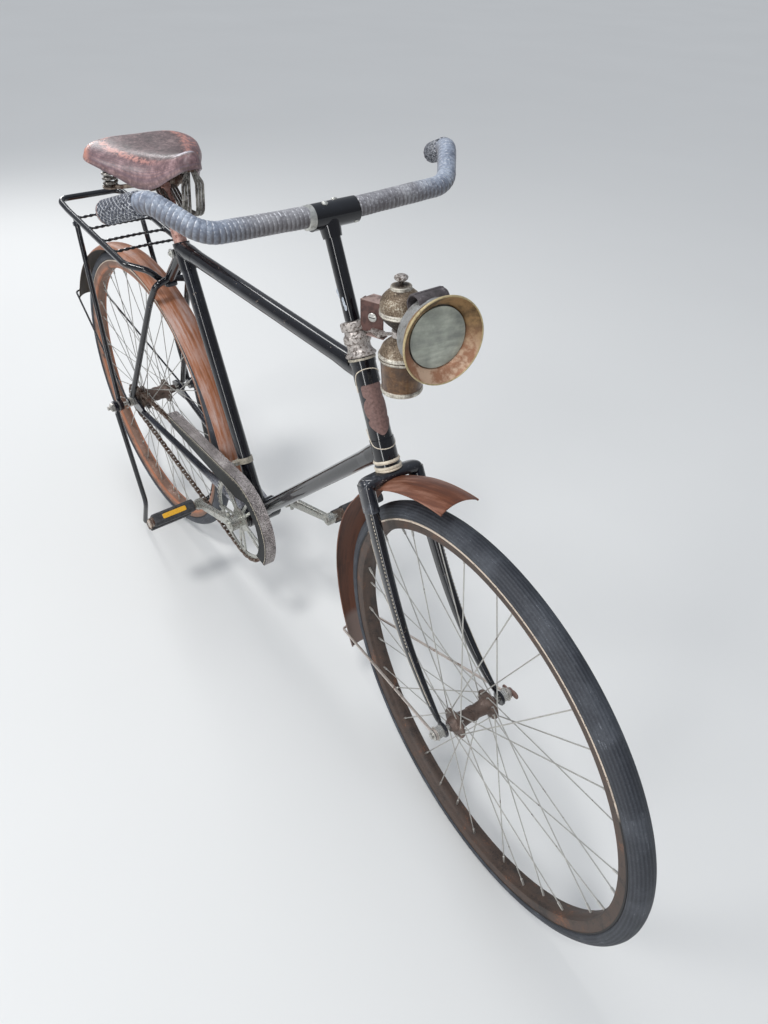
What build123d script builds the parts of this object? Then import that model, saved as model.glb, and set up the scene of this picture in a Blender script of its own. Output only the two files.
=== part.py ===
"""Vintage roadster bicycle with a carbide lamp, standing on its two-legged rear stand.

Everything is drawn in millimetres in a level working frame: the origin is the middle of the rear axle, +X points
forward, +Y to the rider's left and +Z up. place() then tips the machine about the front axle until the stand's
feet touch the floor, and moves the origin to the floor under the middle of the bicycle.
"""

import math
import os
from dataclasses import dataclass

from build123d import *

Y_AXIS = Vector(0, 1, 0)
UPWARD = (Align.CENTER, Align.CENTER, Align.MIN)

# Wheels
WHEELBASE = 1142.5
FRONT_TYRE_R = 355.0
REAR_TYRE_R = 349.5
TYRE_SECTION_R = 19.9
AXLE_R = 4.7
BEARING_GAP = 0.05

# Frame points, each from the axle or point that carries it
REAR_AXLE = Vector(0, 0, 0)
FRONT_AXLE = REAR_AXLE + Vector(WHEELBASE, 0, 0)
BRACKET = REAR_AXLE + Vector(490.2, 0, -42.2)
SEAT_CLUSTER = BRACKET + Vector(-231.6, 0, 491.9)
HEAD_BOTTOM = FRONT_AXLE + Vector(-253.7, 0, 326.8)
HEAD_TOP = HEAD_BOTTOM + Vector(-72.3, 0, 146.7)
HEAD_UP = (HEAD_TOP - HEAD_BOTTOM).normalized()
HEAD_AHEAD = Vector(HEAD_UP.Z, 0, -HEAD_UP.X)
SEAT_TUBE_UP = (SEAT_CLUSTER - BRACKET).normalized()
SEAT_TUBE_BACK = Vector(-SEAT_TUBE_UP.Z, 0, SEAT_TUBE_UP.X)

# How far each part of the steering is turned in the parked pose
STEER_DEG = -8.0
LAMP_STEER_DEG = -5.65
BAR_STEER_DEG = -3.6

# Tubes and lugs
MAIN_TUBE_R = 14.3
HEAD_TUBE_R = 17.0
STEERER_R = 12.7
LUG_WALL = 1.7
TOP_LUG_UP = 141.6
DOWN_LUG_UP = 24.0
HEAD_LUG_HALF = 17.0
HEAD_LUG_REACH = 63.0
SEAT_LUG_REACH = 56.0
SEAT_LUG_BELOW = 40.0
SEAT_LUG_ABOVE = 11.0
CUP_WALL = 2.6
CUP_LENGTH = 9.0
HEADSET_ROOM = 6.0

# Layout along the rear axle, from the middle outwards on each side
DROPOUT_IN_Y = 55.5
DROPOUT_OUT_Y = 60.5
AXLE_NUT_Y = (60.6, 68.6)
GUARD_EYE_Y = (70.9, 73.9)
RACK_BOSS_Y = (88.0, 96.0)
STAND_HUB_Y = (101.5, 109.5)
END_NUT_Y = (109.7, 116.7)
REAR_AXLE_HALF = 124.7


def lerp(a, b, t):
    return a + (b - a) * t


def along_head(down, ahead=0.0, side=0.0):
    """Point given by its distance below the head tube's lower end, ahead of the head axis and to the left."""
    return HEAD_BOTTOM - HEAD_UP * down + HEAD_AHEAD * ahead + Y_AXIS * side


def fused(solids):
    """One solid from several that touch or overlap."""
    whole = None
    for solid in solids:
        whole = solid if whole is None else whole + solid
    return whole


def at_point(origin, direction, x_dir=None):
    return Plane(origin=origin, z_dir=direction, x_dir=x_dir)


def rod(a, b, r, r_end=None):
    """Round bar or cone between two points."""
    a, b = Vector(a), Vector(b)
    length = (b - a).length
    if r_end is None:
        solid = Cylinder(r, length, align=UPWARD)
    else:
        solid = Cone(r, r_end, length, align=UPWARD)
    return at_point(a, b - a).location * solid


def across(centre, y0, y1, r):
    """Round bar parallel to the axles, through a centre."""
    return rod((centre.X, y0, centre.Z), (centre.X, y1, centre.Z), r)


def bent_path(points, bends):
    """Lines through the points with each corner rounded by its own radius."""
    pts = [Vector(p) for p in points]
    edges, last = [], pts[0]
    for before, corner, after, bend in zip(pts, pts[1:], pts[2:], bends):
        back, ahead = (before - corner).normalized(), (after - corner).normalized()
        half = math.acos(max(-1.0, min(1.0, back.dot(ahead)))) / 2
        start, end = corner + back * (bend / math.tan(half)), corner + ahead * (bend / math.tan(half))
        middle = corner + (back + ahead).normalized() * (bend / math.sin(half) - bend)
        if (start - last).length > 0.01:
            edges.append(Edge.make_line(last, start))
        edges.append(Edge.make_three_point_arc(start, middle, end))
        last = end
    if (pts[-1] - last).length > 0.01:
        edges.append(Edge.make_line(last, pts[-1]))
    return Wire(edges)


def bent_bar(points, bends, r):
    """Round bar along a path of lines with rounded corners."""
    path = bent_path(points, bends)
    return sweep(at_point(path @ 0, path % 0) * Circle(r), path=path)


def turned(profile):
    """Solid of revolution about the Y axis from (radius, y) pairs."""
    return revolve(make_face(Polyline(profile, close=True)), axis=Axis.Y, revolution_arc=360)


def spun(origin, direction, profile):
    """Solid of revolution about a line, from (height, radius) pairs that start at its origin."""
    pairs = [(0.0, profile[0][0])] + [(r, h) for h, r in profile] + [(0.0, profile[-1][0])]
    return at_point(origin, direction).location * Rot(90, 0, 0) * turned(pairs)


def slab(outline, y0, y1):
    """Plate parallel to the wheels: outline is (x, z) pairs."""
    face = make_face(Polyline([(x, y0, z) for x, z in outline], close=True))
    return extrude(face, amount=abs(y1 - y0), dir=(0, 1 if y1 > y0 else -1, 0))


def arc_points(centre, r, start_deg, end_deg, count):
    """Points on an arc in the wheels' plane; the angle is measured from +X towards +Z."""
    steps = [math.radians(lerp(start_deg, end_deg, i / (count - 1))) for i in range(count)]
    return [(centre.X + r * math.cos(a), centre.Z + r * math.sin(a)) for a in steps]


def mirrored_pair(side_solid):
    """The left piece given by a function of +1 and its right twin, as one solid each in a list."""
    return [side_solid(1), side_solid(-1)]


# Frame


def head_axis_bar(low, high, r):
    """Bar about the head axis between two heights above the head tube's lower end."""
    return rod(along_head(-low), along_head(-high), r)


HEAD_LENGTH = (HEAD_TOP - HEAD_BOTTOM).length


def make_head_tube():
    """Head tube with its two cups and the rings of its lugs."""
    tube = head_axis_bar(0, HEAD_LENGTH, HEAD_TUBE_R)
    tube += head_axis_bar(0, CUP_LENGTH, HEAD_TUBE_R + CUP_WALL)
    tube += head_axis_bar(HEAD_LENGTH - CUP_LENGTH, HEAD_LENGTH, HEAD_TUBE_R + CUP_WALL)
    for up in (DOWN_LUG_UP, TOP_LUG_UP):
        tube += head_axis_bar(up - HEAD_LUG_HALF, up + HEAD_LUG_HALF, HEAD_TUBE_R + LUG_WALL)
    return tube - head_axis_bar(-1, HEAD_LENGTH + 1, STEERER_R + BEARING_GAP)


def head_room():
    """Space of the head tube, its cups and the headset, cut from the tubes that meet it."""
    room = head_axis_bar(-HEADSET_ROOM, HEAD_LENGTH + HEADSET_ROOM, HEAD_TUBE_R + LUG_WALL + 0.1)
    room += head_axis_bar(-24, CUP_LENGTH, HEAD_TUBE_R + HEADSET_ROOM)
    return room + head_axis_bar(HEAD_LENGTH - CUP_LENGTH, HEAD_LENGTH + 24, HEAD_TUBE_R + HEADSET_ROOM)


def lug_socket(start, end, length, r):
    """Sleeve round a tube's end, filed to a taper over its outer part."""
    way = (end - start).normalized()
    shoulder = start + way * length * 0.55
    return rod(start, shoulder, r + LUG_WALL) + rod(shoulder, start + way * length, r + LUG_WALL, r + 0.3)


def seat_lug_core():
    low, high = SEAT_CLUSTER - SEAT_TUBE_UP * SEAT_LUG_BELOW, SEAT_CLUSTER + SEAT_TUBE_UP * SEAT_LUG_ABOVE
    return rod(low, high, MAIN_TUBE_R + LUG_WALL + 0.3)


TOP_TUBE_END = along_head(-TOP_LUG_UP)
DOWN_TUBE_END = along_head(-DOWN_LUG_UP)


def make_top_tube():
    tube = rod(SEAT_CLUSTER, TOP_TUBE_END, MAIN_TUBE_R)
    tube += lug_socket(TOP_TUBE_END, SEAT_CLUSTER, HEAD_LUG_REACH, MAIN_TUBE_R)
    tube += lug_socket(SEAT_CLUSTER, TOP_TUBE_END, SEAT_LUG_REACH, MAIN_TUBE_R)
    seat_room = rod(SEAT_CLUSTER, SEAT_CLUSTER + SEAT_TUBE_UP * SEAT_LUG_BELOW, MAIN_TUBE_R + LUG_WALL + 0.2)
    return tube - head_room() - seat_lug_core() - seat_room


def make_down_tube():
    tube = rod(BRACKET, DOWN_TUBE_END, MAIN_TUBE_R)
    tube += lug_socket(DOWN_TUBE_END, BRACKET, HEAD_LUG_REACH, MAIN_TUBE_R)
    tube += lug_socket(BRACKET, DOWN_TUBE_END, SEAT_LUG_REACH, MAIN_TUBE_R)
    tube -= head_room()
    tube -= rod(BRACKET, BRACKET + SEAT_TUBE_UP * 2 * SEAT_LUG_REACH, MAIN_TUBE_R + LUG_WALL)
    return tube - bracket_bar(BRACKET_CUP_Y, BRACKET_SHELL_R)


BINDER_BACK = 22.0
BINDER_DOWN = 3.0
BINDER_R = 6.5
BINDER_HALF = 13.0
PILLAR_R = 12.6
PILLAR_IN = 60.0
PILLAR_OUT = 116.0
PILLAR_TOP = SEAT_CLUSTER + SEAT_TUBE_UP * PILLAR_OUT


def binder():
    """Ear of the seat bolt, behind the lug."""
    middle = SEAT_CLUSTER - SEAT_TUBE_UP * BINDER_DOWN + SEAT_TUBE_BACK * BINDER_BACK
    return across(middle, -BINDER_HALF, BINDER_HALF, BINDER_R)


def make_seat_tube():
    """Seat tube with its lug and binder bolt, open at the top for the pillar."""
    tube = rod(BRACKET, SEAT_CLUSTER + SEAT_TUBE_UP * SEAT_LUG_ABOVE, MAIN_TUBE_R) + seat_lug_core()
    tube += lug_socket(BRACKET, SEAT_CLUSTER, SEAT_LUG_REACH, MAIN_TUBE_R)
    tube += binder()
    tube -= rod(SEAT_CLUSTER - SEAT_TUBE_UP * PILLAR_IN, SEAT_CLUSTER + SEAT_TUBE_UP * (SEAT_LUG_ABOVE + 4), PILLAR_R)
    return tube - bracket_bar(BRACKET_CUP_Y, BRACKET_SHELL_R)


def make_seat_pillar():
    return rod(SEAT_CLUSTER - SEAT_TUBE_UP * PILLAR_IN, PILLAR_TOP, PILLAR_R)


BRACKET_SHELL_R = 23.0
BRACKET_SHELL_Y = 34.0
BRACKET_CUP_R = 20.5
BRACKET_CUP_Y = 38.0
BRACKET_AXLE_R = 8.0


def bracket_bar(half, r):
    return across(BRACKET, -half, half, r)


def make_bottom_bracket():
    shell = bracket_bar(BRACKET_SHELL_Y, BRACKET_SHELL_R) + bracket_bar(BRACKET_CUP_Y, BRACKET_CUP_R)
    return shell - bracket_bar(BRACKET_CUP_Y + 2, BRACKET_AXLE_R + BEARING_GAP)


STAY_FRONT = BRACKET + Vector(-22.2, 25.0, 2.2)
STAY_REAR = REAR_AXLE + Vector(54.0, 58.0, -5.0)
STAY_FRONT_R = 9.5
STAY_REAR_R = 6.5
STAY_BRIDGE_R = 6.0
DROPOUT = ((62, -12), (30, -15), (4, -17), (-20, -12), (-24, 6), (-8, 17), (14, 19), (40, 8), (62, 2))


def on_side(point, side):
    return Vector(point.X, side * point.Y, point.Z)


def make_chain_stays():
    """Two tapered stays with forged drop-out plates and the bridge behind the bracket."""

    def stay(side):
        bar = rod(on_side(STAY_FRONT, side), on_side(STAY_REAR, side), STAY_FRONT_R, STAY_REAR_R)
        return bar + slab(DROPOUT, side * DROPOUT_IN_Y, side * DROPOUT_OUT_Y)

    bridge = lerp(STAY_FRONT, STAY_REAR, 0.11)
    stays = fused(mirrored_pair(stay) + [across(bridge, -bridge.Y, bridge.Y, STAY_BRIDGE_R)])
    stays -= across(REAR_AXLE, -DROPOUT_OUT_Y - 9, DROPOUT_OUT_Y + 9, AXLE_R)
    return stays - bracket_bar(BRACKET_CUP_Y, BRACKET_SHELL_R)


ARCH_TOP = SEAT_CLUSTER + Vector(-76.6, 0, -84.7)
ARCH_SHOULDER = Vector(190.0, 36.0, 359.0)
ARCH_SIDE = Vector(161.0, 42.0, 314.0)
ARCH_FOOT = Vector(20.0, 66.0, 26.0)
ARCH_R = 6.6
ARCH_BEND = 14.0
MONO_STAY_R = 10.5
STAY_SLOT = Vector(120, 5.2, 40)


def stay_arch():
    """Bar from one drop-out over the mudguard to the other."""
    left = [ARCH_SHOULDER, ARCH_SIDE, ARCH_FOOT]
    right = [on_side(p, -1) for p in reversed(left)]
    return bent_bar(right + [ARCH_TOP] + left, [ARCH_BEND] * 5, ARCH_R)


def make_seat_stays():
    """One short tube from the seat lug and the arch that it meets, slotted over the drop-outs."""
    stays = rod(SEAT_CLUSTER, ARCH_TOP, MONO_STAY_R) + stay_arch() - seat_lug_core() - binder()
    for side in (-1, 1):
        stays -= Pos(8, side * (DROPOUT_IN_Y + DROPOUT_OUT_Y) / 2, 0) * Box(*STAY_SLOT)
    return stays


NUT_R = 10.5


def nut(centre, y0, y1):
    """Hexagonal nut on an axle."""
    middle = (y0 + y1) / 2
    prism = extrude(RegularPolygon(NUT_R, 6), abs(y1 - y0) / 2, both=True)
    return Pos(centre.X, middle, centre.Z) * Rot(90, 0, 0) * prism


def make_rear_axle():
    axle = across(REAR_AXLE, -REAR_AXLE_HALF, REAR_AXLE_HALF, AXLE_R)
    for side in (-1, 1):
        for y0, y1 in (AXLE_NUT_Y, END_NUT_Y):
            axle += nut(REAR_AXLE, side * y0, side * y1)
    return axle


# Mudguards


@dataclass(frozen=True)
class Guard:
    """Mudguard over a wheel: its centre, its section and the angles of its ends, from +X towards +Z."""

    centre: Vector
    crest_r: float
    half_width: float
    drop: float
    start_deg: float
    end_deg: float
    stay_deg: float
    stay_half: float


GUARD_THICK = 1.6
GUARD_STAY_R = 2.4
# The rear one has sprung open, so its centre lies below the axle
REAR_GUARD_BELOW = 50.0
REAR_GUARD_GAP = 11.5
FRONT_GUARD_GAP = 37.0
REAR_GUARD = Guard(
    REAR_AXLE - Vector(0, 0, REAR_GUARD_BELOW), REAR_TYRE_R + REAR_GUARD_GAP + REAR_GUARD_BELOW,
    28.0, 11.0, 4.0, 154.0, 152.5, 32.0,
)
FRONT_GUARD = Guard(FRONT_AXLE, FRONT_TYRE_R + FRONT_GUARD_GAP, 30.0, 9.0, 101.5, 209.0, 203.0, 35.0)


def mudguard(guard):
    """Strip with a curved section, bent about its centre."""
    edge_r = guard.crest_r - guard.drop
    inner_r, inner_half = edge_r - 0.4 * GUARD_THICK, guard.half_width - GUARD_THICK
    outer = ThreePointArc((edge_r, -guard.half_width), (guard.crest_r, 0), (edge_r, guard.half_width))
    inner = ThreePointArc((inner_r, inner_half), (guard.crest_r - GUARD_THICK, 0), (inner_r, -inner_half))
    face = make_face([outer, Line(outer @ 1, inner @ 0), inner, Line(inner @ 1, outer @ 0)])
    about_y = Axis((0, 0, 0), (0, -1, 0))
    return Pos(*guard.centre) * revolve(Rot(0, -guard.start_deg, 0) * face, about_y, guard.end_deg - guard.start_deg)


def guard_stays(axle, guard, eye_y):
    """Wire from each end of the axle to the mudguard and across its crest."""
    angle, reach = math.radians(guard.stay_deg), guard.crest_r + GUARD_STAY_R + 0.02
    far = guard.centre + Vector(reach * math.cos(angle), guard.stay_half, reach * math.sin(angle))
    eye = (eye_y[0] + eye_y[1]) / 2
    ends = [axle - Y_AXIS * eye, on_side(far, -1), far, axle + Y_AXIS * eye]
    wire = bent_bar(ends, [10, 10], GUARD_STAY_R)
    for side in (-1, 1):
        wire += across(axle, side * eye_y[0], side * eye_y[1], 2 * AXLE_R)
    return wire - across(axle, -eye_y[1] - 1, eye_y[1] + 1, AXLE_R)


# Rack

RACK_HALF = 73.0
RACK_TUBE_R = 6.5
RACK_LEG_R = 5.6
RACK_ROD_R = 2.6
RACK_MIDDLE_Z = 404.6
RACK_SLOPE = -0.086
RACK_ROD_X = (-104.0, -43.0, 24.0, 79.0)
RACK_REAR = Vector(-203.0, RACK_HALF, 427.0)
RACK_KINK_X = -150.0
RACK_ELBOW_X = 136.0
RACK_TURN = Vector(168.0, 38.0, 383.0)
RACK_NOSE = Vector(174.0, 8.0, 352.0)
RACK_BENDS = (22.0, 40.0, 26.0, 22.0, 12.0)
RACK_LEG_TOP_X = -110.0
RACK_LEG_FOOT = Vector(-8.0, 92.0, 8.0)
RACK_BOSS_R = 13.0


def rack_point(x, side=1.0):
    """Point on a side rail."""
    return Vector(x, side * RACK_HALF, RACK_MIDDLE_Z + RACK_SLOPE * x)


def make_rack_frame():
    """Tube loop with its nose at the arch, a strap to the arch and a leg to each end of the axle."""
    left = [RACK_REAR, rack_point(RACK_KINK_X), rack_point(RACK_ELBOW_X), RACK_TURN, RACK_NOSE]
    right = [on_side(p, -1) for p in reversed(left)]
    tail = Vector(RACK_REAR.X, 0, RACK_REAR.Z)
    frame = bent_bar([tail] + left + right + [tail], [*RACK_BENDS, *reversed(RACK_BENDS)], RACK_TUBE_R)
    for side in (-1, 1):
        frame += rod(rack_point(RACK_LEG_TOP_X, side), on_side(RACK_LEG_FOOT, side), RACK_LEG_R)
        frame += across(REAR_AXLE, side * RACK_BOSS_Y[0], side * RACK_BOSS_Y[1], RACK_BOSS_R)
    nose = Vector(RACK_NOSE.X, 0, RACK_NOSE.Z)
    strap = at_point(nose, ARCH_TOP - nose, Y_AXIS).location
    frame += strap * Box(16, 3, (ARCH_TOP - nose).length, align=UPWARD)
    return frame - stay_arch() - across(REAR_AXLE, -REAR_AXLE_HALF, REAR_AXLE_HALF, AXLE_R)


def make_rack_rods():
    """Cross rods let into the side rails."""
    rods = fused([rod(rack_point(x, -1), rack_point(x), RACK_ROD_R) for x in RACK_ROD_X])
    for side in (-1, 1):
        rods -= rod(rack_point(RACK_KINK_X, side), rack_point(RACK_ELBOW_X, side), RACK_TUBE_R)
    return rods


# Chain, guard and clip

CHAIN_PITCH = 12.7
RING_TEETH = 46
SPROCKET_TEETH = 18
CHAIN_Y = -48.5
CHAIN_HALF = 4.4
CHAIN_WAIST = 0.72
PLATE_IN = 2.4
PLATE_OUT = 3.8
RING_THICK = 3.0
SPROCKET_THICK = 2.4


def pitch_radius(teeth):
    return CHAIN_PITCH / (2 * math.sin(math.pi / teeth))


@dataclass(frozen=True)
class ChainPath:
    """Pitch line of the chain: an arc on the chainring, a run, an arc on the sprocket and a run back."""

    ring_r: float = pitch_radius(RING_TEETH)
    cog_r: float = pitch_radius(SPROCKET_TEETH)

    @property
    def tilt(self):
        """Direction from the rear axle to the bracket."""
        return math.atan2((BRACKET - REAR_AXLE).Z, (BRACKET - REAR_AXLE).X)

    @property
    def lean(self):
        """Angle between a free run and the line of centres."""
        return math.asin((self.ring_r - self.cog_r) / (BRACKET - REAR_AXLE).length)

    @property
    def run(self):
        return math.sqrt((BRACKET - REAR_AXLE).length ** 2 - (self.ring_r - self.cog_r) ** 2)

    def normal(self, way):
        """Outward direction of the upper run (way 1) or the lower run (way -1)."""
        angle = self.tilt + way * (math.pi / 2 + self.lean)
        return Vector(math.cos(angle), 0, math.sin(angle))

    def point(self, share):
        """Place and outward direction at a share of the whole loop."""
        top, low = self.tilt + math.pi / 2 + self.lean, self.tilt - math.pi / 2 - self.lean
        ring_arc, cog_arc = (top - low) * self.ring_r, (2 * math.pi - top + low) * self.cog_r
        s = share * (ring_arc + cog_arc + 2 * self.run)
        if s < ring_arc:
            angle, centre, r = top - s / self.ring_r, BRACKET, self.ring_r
        elif s < ring_arc + self.run:
            angle, t = low, (s - ring_arc) / self.run
            centre, r = lerp(BRACKET, REAR_AXLE, t), lerp(self.ring_r, self.cog_r, t)
        elif s < ring_arc + self.run + cog_arc:
            angle, centre, r = low - (s - ring_arc - self.run) / self.cog_r, REAR_AXLE, self.cog_r
        else:
            angle, t = top, (s - ring_arc - self.run - cog_arc) / self.run
            centre, r = lerp(REAR_AXLE, BRACKET, t), lerp(self.cog_r, self.ring_r, t)
        out = Vector(math.cos(angle), 0, math.sin(angle))
        return centre + out * r, out

    def links(self):
        arcs = math.pi * (self.ring_r + self.cog_r) + 2 * self.lean * (self.ring_r - self.cog_r)
        return round((arcs + 2 * self.run) / CHAIN_PITCH)

    def outline(self, offset, waist=1.0):
        """Outline at an offset from the pitch line, drawn in to the waist between each two pins."""
        step = 1 if waist == 1.0 else 2
        pairs = []
        for i in range(step * self.links()):
            place, out = self.point(i / (step * self.links()))
            place = place + out * (offset if i % step == 0 else offset * waist)
            pairs.append((place.X, place.Z))
        return pairs


def make_chain():
    """Fixed loop: two rows of plates that straddle the teeth, filled between them on the two free runs."""
    path = ChainPath()
    outer, inner = path.outline(CHAIN_HALF, CHAIN_WAIST), path.outline(-CHAIN_HALF)
    parts = []
    for y0, y1 in ((CHAIN_Y - PLATE_OUT, CHAIN_Y - PLATE_IN), (CHAIN_Y + PLATE_IN, CHAIN_Y + PLATE_OUT)):
        parts.append(slab(outer, y0, y1) - slab(inner, y0 - 1, y1 + 1))
    for way in (1, -1):
        out = path.normal(way)
        start, end = REAR_AXLE + out * path.cog_r, BRACKET + out * path.ring_r
        ahead = (end - start).normalized()
        start, end = start + ahead * 2 * CHAIN_PITCH, end - ahead * 3.5 * CHAIN_PITCH
        corners = [start + out * 3, end + out * 3, end - out * 3, start - out * 3]
        parts.append(slab([(p.X, p.Z) for p in corners], CHAIN_Y - PLATE_IN - 0.1, CHAIN_Y + PLATE_IN + 0.1))
    return fused(parts)


GUARD_OUT_Y = -56.2
GUARD_IN_Y = -33.0
GUARD_FACE_THICK = 1.2
GUARD_R = ChainPath().ring_r + 20.0
GUARD_RING_DEPTH = 29.0
GUARD_RUN_DEPTH = 50.0
GUARD_TAIL = Vector(196.0, 0, 66.0)
GUARD_TAIL_FOOT = Vector(212.0, 0, 42.0)
GUARD_START_DEG = 92.0
GUARD_TURN_DEG = 62.0
GUARD_END_DEG = -27.0


def make_chain_guard():
    """Outer face and top flange that follow the chain's upper run and the front of the chainring."""
    top_arc = arc_points(BRACKET, GUARD_R, GUARD_START_DEG, GUARD_END_DEG, 22)
    low_arc = arc_points(BRACKET, GUARD_R - GUARD_RING_DEPTH, GUARD_END_DEG - 6, GUARD_TURN_DEG, 22)
    run_edge = [(BRACKET.X, BRACKET.Z + GUARD_R - GUARD_RUN_DEPTH), (GUARD_TAIL_FOOT.X, GUARD_TAIL_FOOT.Z)]
    under_arc = arc_points(BRACKET, GUARD_R - GUARD_THICK, GUARD_END_DEG, GUARD_START_DEG, 22)
    tail = (GUARD_TAIL.X, GUARD_TAIL.Z)
    face = slab([tail, *top_arc, *low_arc, *run_edge], GUARD_OUT_Y, GUARD_OUT_Y + GUARD_FACE_THICK)
    return face + slab([tail, *top_arc, *under_arc, (tail[0], tail[1] - GUARD_THICK)], GUARD_OUT_Y, GUARD_IN_Y)


CLIP_SHARE = 0.215
CLIP_HALF = 6.0
CLIP_WALL = 1.8
CLIP_EAR = Vector(10, 14, 9)


def make_seat_tube_clip():
    """Band round the seat tube with the ear of its screw."""
    at = lerp(BRACKET, SEAT_CLUSTER, CLIP_SHARE)
    band = rod(at - SEAT_TUBE_UP * CLIP_HALF, at + SEAT_TUBE_UP * CLIP_HALF, MAIN_TUBE_R + CLIP_WALL)
    band += Pos(at.X, at.Y - MAIN_TUBE_R - CLIP_EAR.Y / 2, at.Z) * Box(*CLIP_EAR)
    return band - rod(BRACKET, SEAT_CLUSTER, MAIN_TUBE_R)


# Saddle


@dataclass(frozen=True)
class SaddleStation:
    """One cross-section of the leather top."""

    x: float
    half_width: float
    top: float
    edge: float


SADDLE = (
    SaddleStation(97, 78, 624, 596),
    SaddleStation(109, 99, 622, 594),
    SaddleStation(136, 109, 618, 590),
    SaddleStation(170, 99, 615, 584),
    SaddleStation(200, 80, 613, 573),
    SaddleStation(230, 59, 613, 559),
    SaddleStation(262, 40, 616, 564),
    SaddleStation(304, 23, 625, 591),
    SaddleStation(343, 13, 641, 612),
)
LEATHER = 4.0
COIL_AT = Vector(132.0, 70.0, 538.0)
COIL_R = 15.0
COIL_HEIGHT = 54.0
SPRING_WIRE_R = 2.6
NOSE_PLATE_AT = Vector(322.0, 0, 609.0)
LOOP_Y = (7.0, 13.0, 19.0)
LOOP_CORNERS = ((262.0, -38.0), (324.0, -33.0), (331.0, 27.0))
CLAMP_R = 13.0
CLAMP_HALF = 30.0


def saddle_skin(inset):
    sections = []
    for s in SADDLE:
        w, top, edge = s.half_width - inset, s.top - inset, s.edge - (6 if inset else 0)
        arc = ThreePointArc((s.x, -w, edge), (s.x, 0, top), (s.x, w, edge))
        sections.append(make_face([arc, Line(arc @ 1, arc @ 0)]))
    return loft(sections, ruled=True)


def make_saddle_top():
    return saddle_skin(0) - saddle_skin(LEATHER)


def make_saddle_springs():
    """Clamp, cantle plate on two rear coils, and the looped wires that rise to the nose."""
    clamp = PILLAR_TOP + SEAT_TUBE_UP * 4
    parts = [across(clamp, -CLAMP_HALF, CLAMP_HALF, CLAMP_R)]
    coil_top = COIL_AT.Z + COIL_HEIGHT
    parts.append(Pos(COIL_AT.X, 0, coil_top - 2) * Box(18, 2 * COIL_AT.Y, 4))
    for side in (-1, 1):
        coil = on_side(COIL_AT, side)
        parts.append(across(clamp, 0, side * CLAMP_HALF, 6))
        arm = [clamp + Y_AXIS * side * 24, coil + Vector(22, -side * 10, 6), coil + Vector(0, 0, 4)]
        parts.append(bent_bar(arm, [24], 4.0))
        parts.append(rod(coil, coil + Vector(0, 0, COIL_HEIGHT), COIL_R))
        for y in LOOP_Y:
            loop = [clamp + Vector(6, side * y, -4)]
            loop += [Vector(x, side * y, clamp.Z + dz) for x, dz in LOOP_CORNERS]
            loop.append(NOSE_PLATE_AT + Vector(4, side * y * 0.3, 0))
            parts.append(bent_bar(loop, [22, 24, 14], SPRING_WIRE_R))
    parts.append(Pos(*NOSE_PLATE_AT) * Box(20, 15, 8))
    return fused(parts) - rod(SEAT_CLUSTER, PILLAR_TOP, PILLAR_R)


# Fork

RACE_R = HEAD_TUBE_R + 3.4
CROWN_TOP = 8.0
CROWN_LOW = 18.0
SOCKET_LOW = 25.0
SOCKET_WALL = 1.4
STEERER_OUT = 52.0
AXLE_FORK_IN_Y = 52.0
AXLE_FORK_OUT_Y = 57.0
FORK_NUT_Y = (57.1, 67.0)
FORK_EYE_Y = (69.1, 72.1)
FRONT_AXLE_HALF = 78.0
FORK_END_R = 12.5
FORK_REACH = (HEAD_BOTTOM - FRONT_AXLE).dot(HEAD_UP)
FORK_RAKE = (FRONT_AXLE - HEAD_BOTTOM).dot(HEAD_AHEAD)


@dataclass(frozen=True)
class BladeStation:
    """One section of a fork blade: shares of the reach and rake, then its side offset and half sizes."""

    down: float
    ahead: float
    side: float
    half_x: float
    half_y: float


BLADE = (
    BladeStation((SOCKET_LOW + 0.02) / FORK_REACH, 0.0, 44.0, 15.0, 9.6),
    BladeStation(0.320, 0.024, 46.5, 14.2, 9.2),
    BladeStation(0.566, 0.133, 49.0, 11.6, 8.2),
    BladeStation(0.763, 0.375, 51.5, 8.6, 7.0),
    BladeStation(0.911, 0.714, 53.5, 6.4, 5.6),
    BladeStation(0.965, 0.895, 54.5, 5.4, 4.6),
)


def blade_point(station, side):
    return along_head(station.down * FORK_REACH, station.ahead * FORK_RAKE, side * station.side)


def slot_face(station, grow=0.0):
    """Flat-sided oval section, its long way fore and aft."""
    return Rot(0, 0, 90) * SlotOverall(2 * (station.half_x + grow), 2 * (station.half_y + grow))


def make_fork_crown():
    """Steerer tube, crown plate with a socket for each blade, and the lower headset ring."""
    crown = rod(along_head(CROWN_TOP), HEAD_TOP + HEAD_UP * STEERER_OUT, STEERER_R)
    crown += rod(along_head(0.6), along_head(CROWN_TOP), RACE_R)
    middle = at_point(along_head(CROWN_TOP), -HEAD_UP, x_dir=Y_AXIS)
    crown += middle * extrude(SlotOverall(2 * (BLADE[0].side + BLADE[0].half_y), 28), CROWN_LOW - CROWN_TOP)
    for side in (-1, 1):
        top = at_point(along_head(CROWN_TOP + 1, 0, side * BLADE[0].side), -HEAD_UP, x_dir=Y_AXIS)
        crown += top * extrude(slot_face(BLADE[0], SOCKET_WALL), SOCKET_LOW - CROWN_TOP - 1)
    return crown


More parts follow.
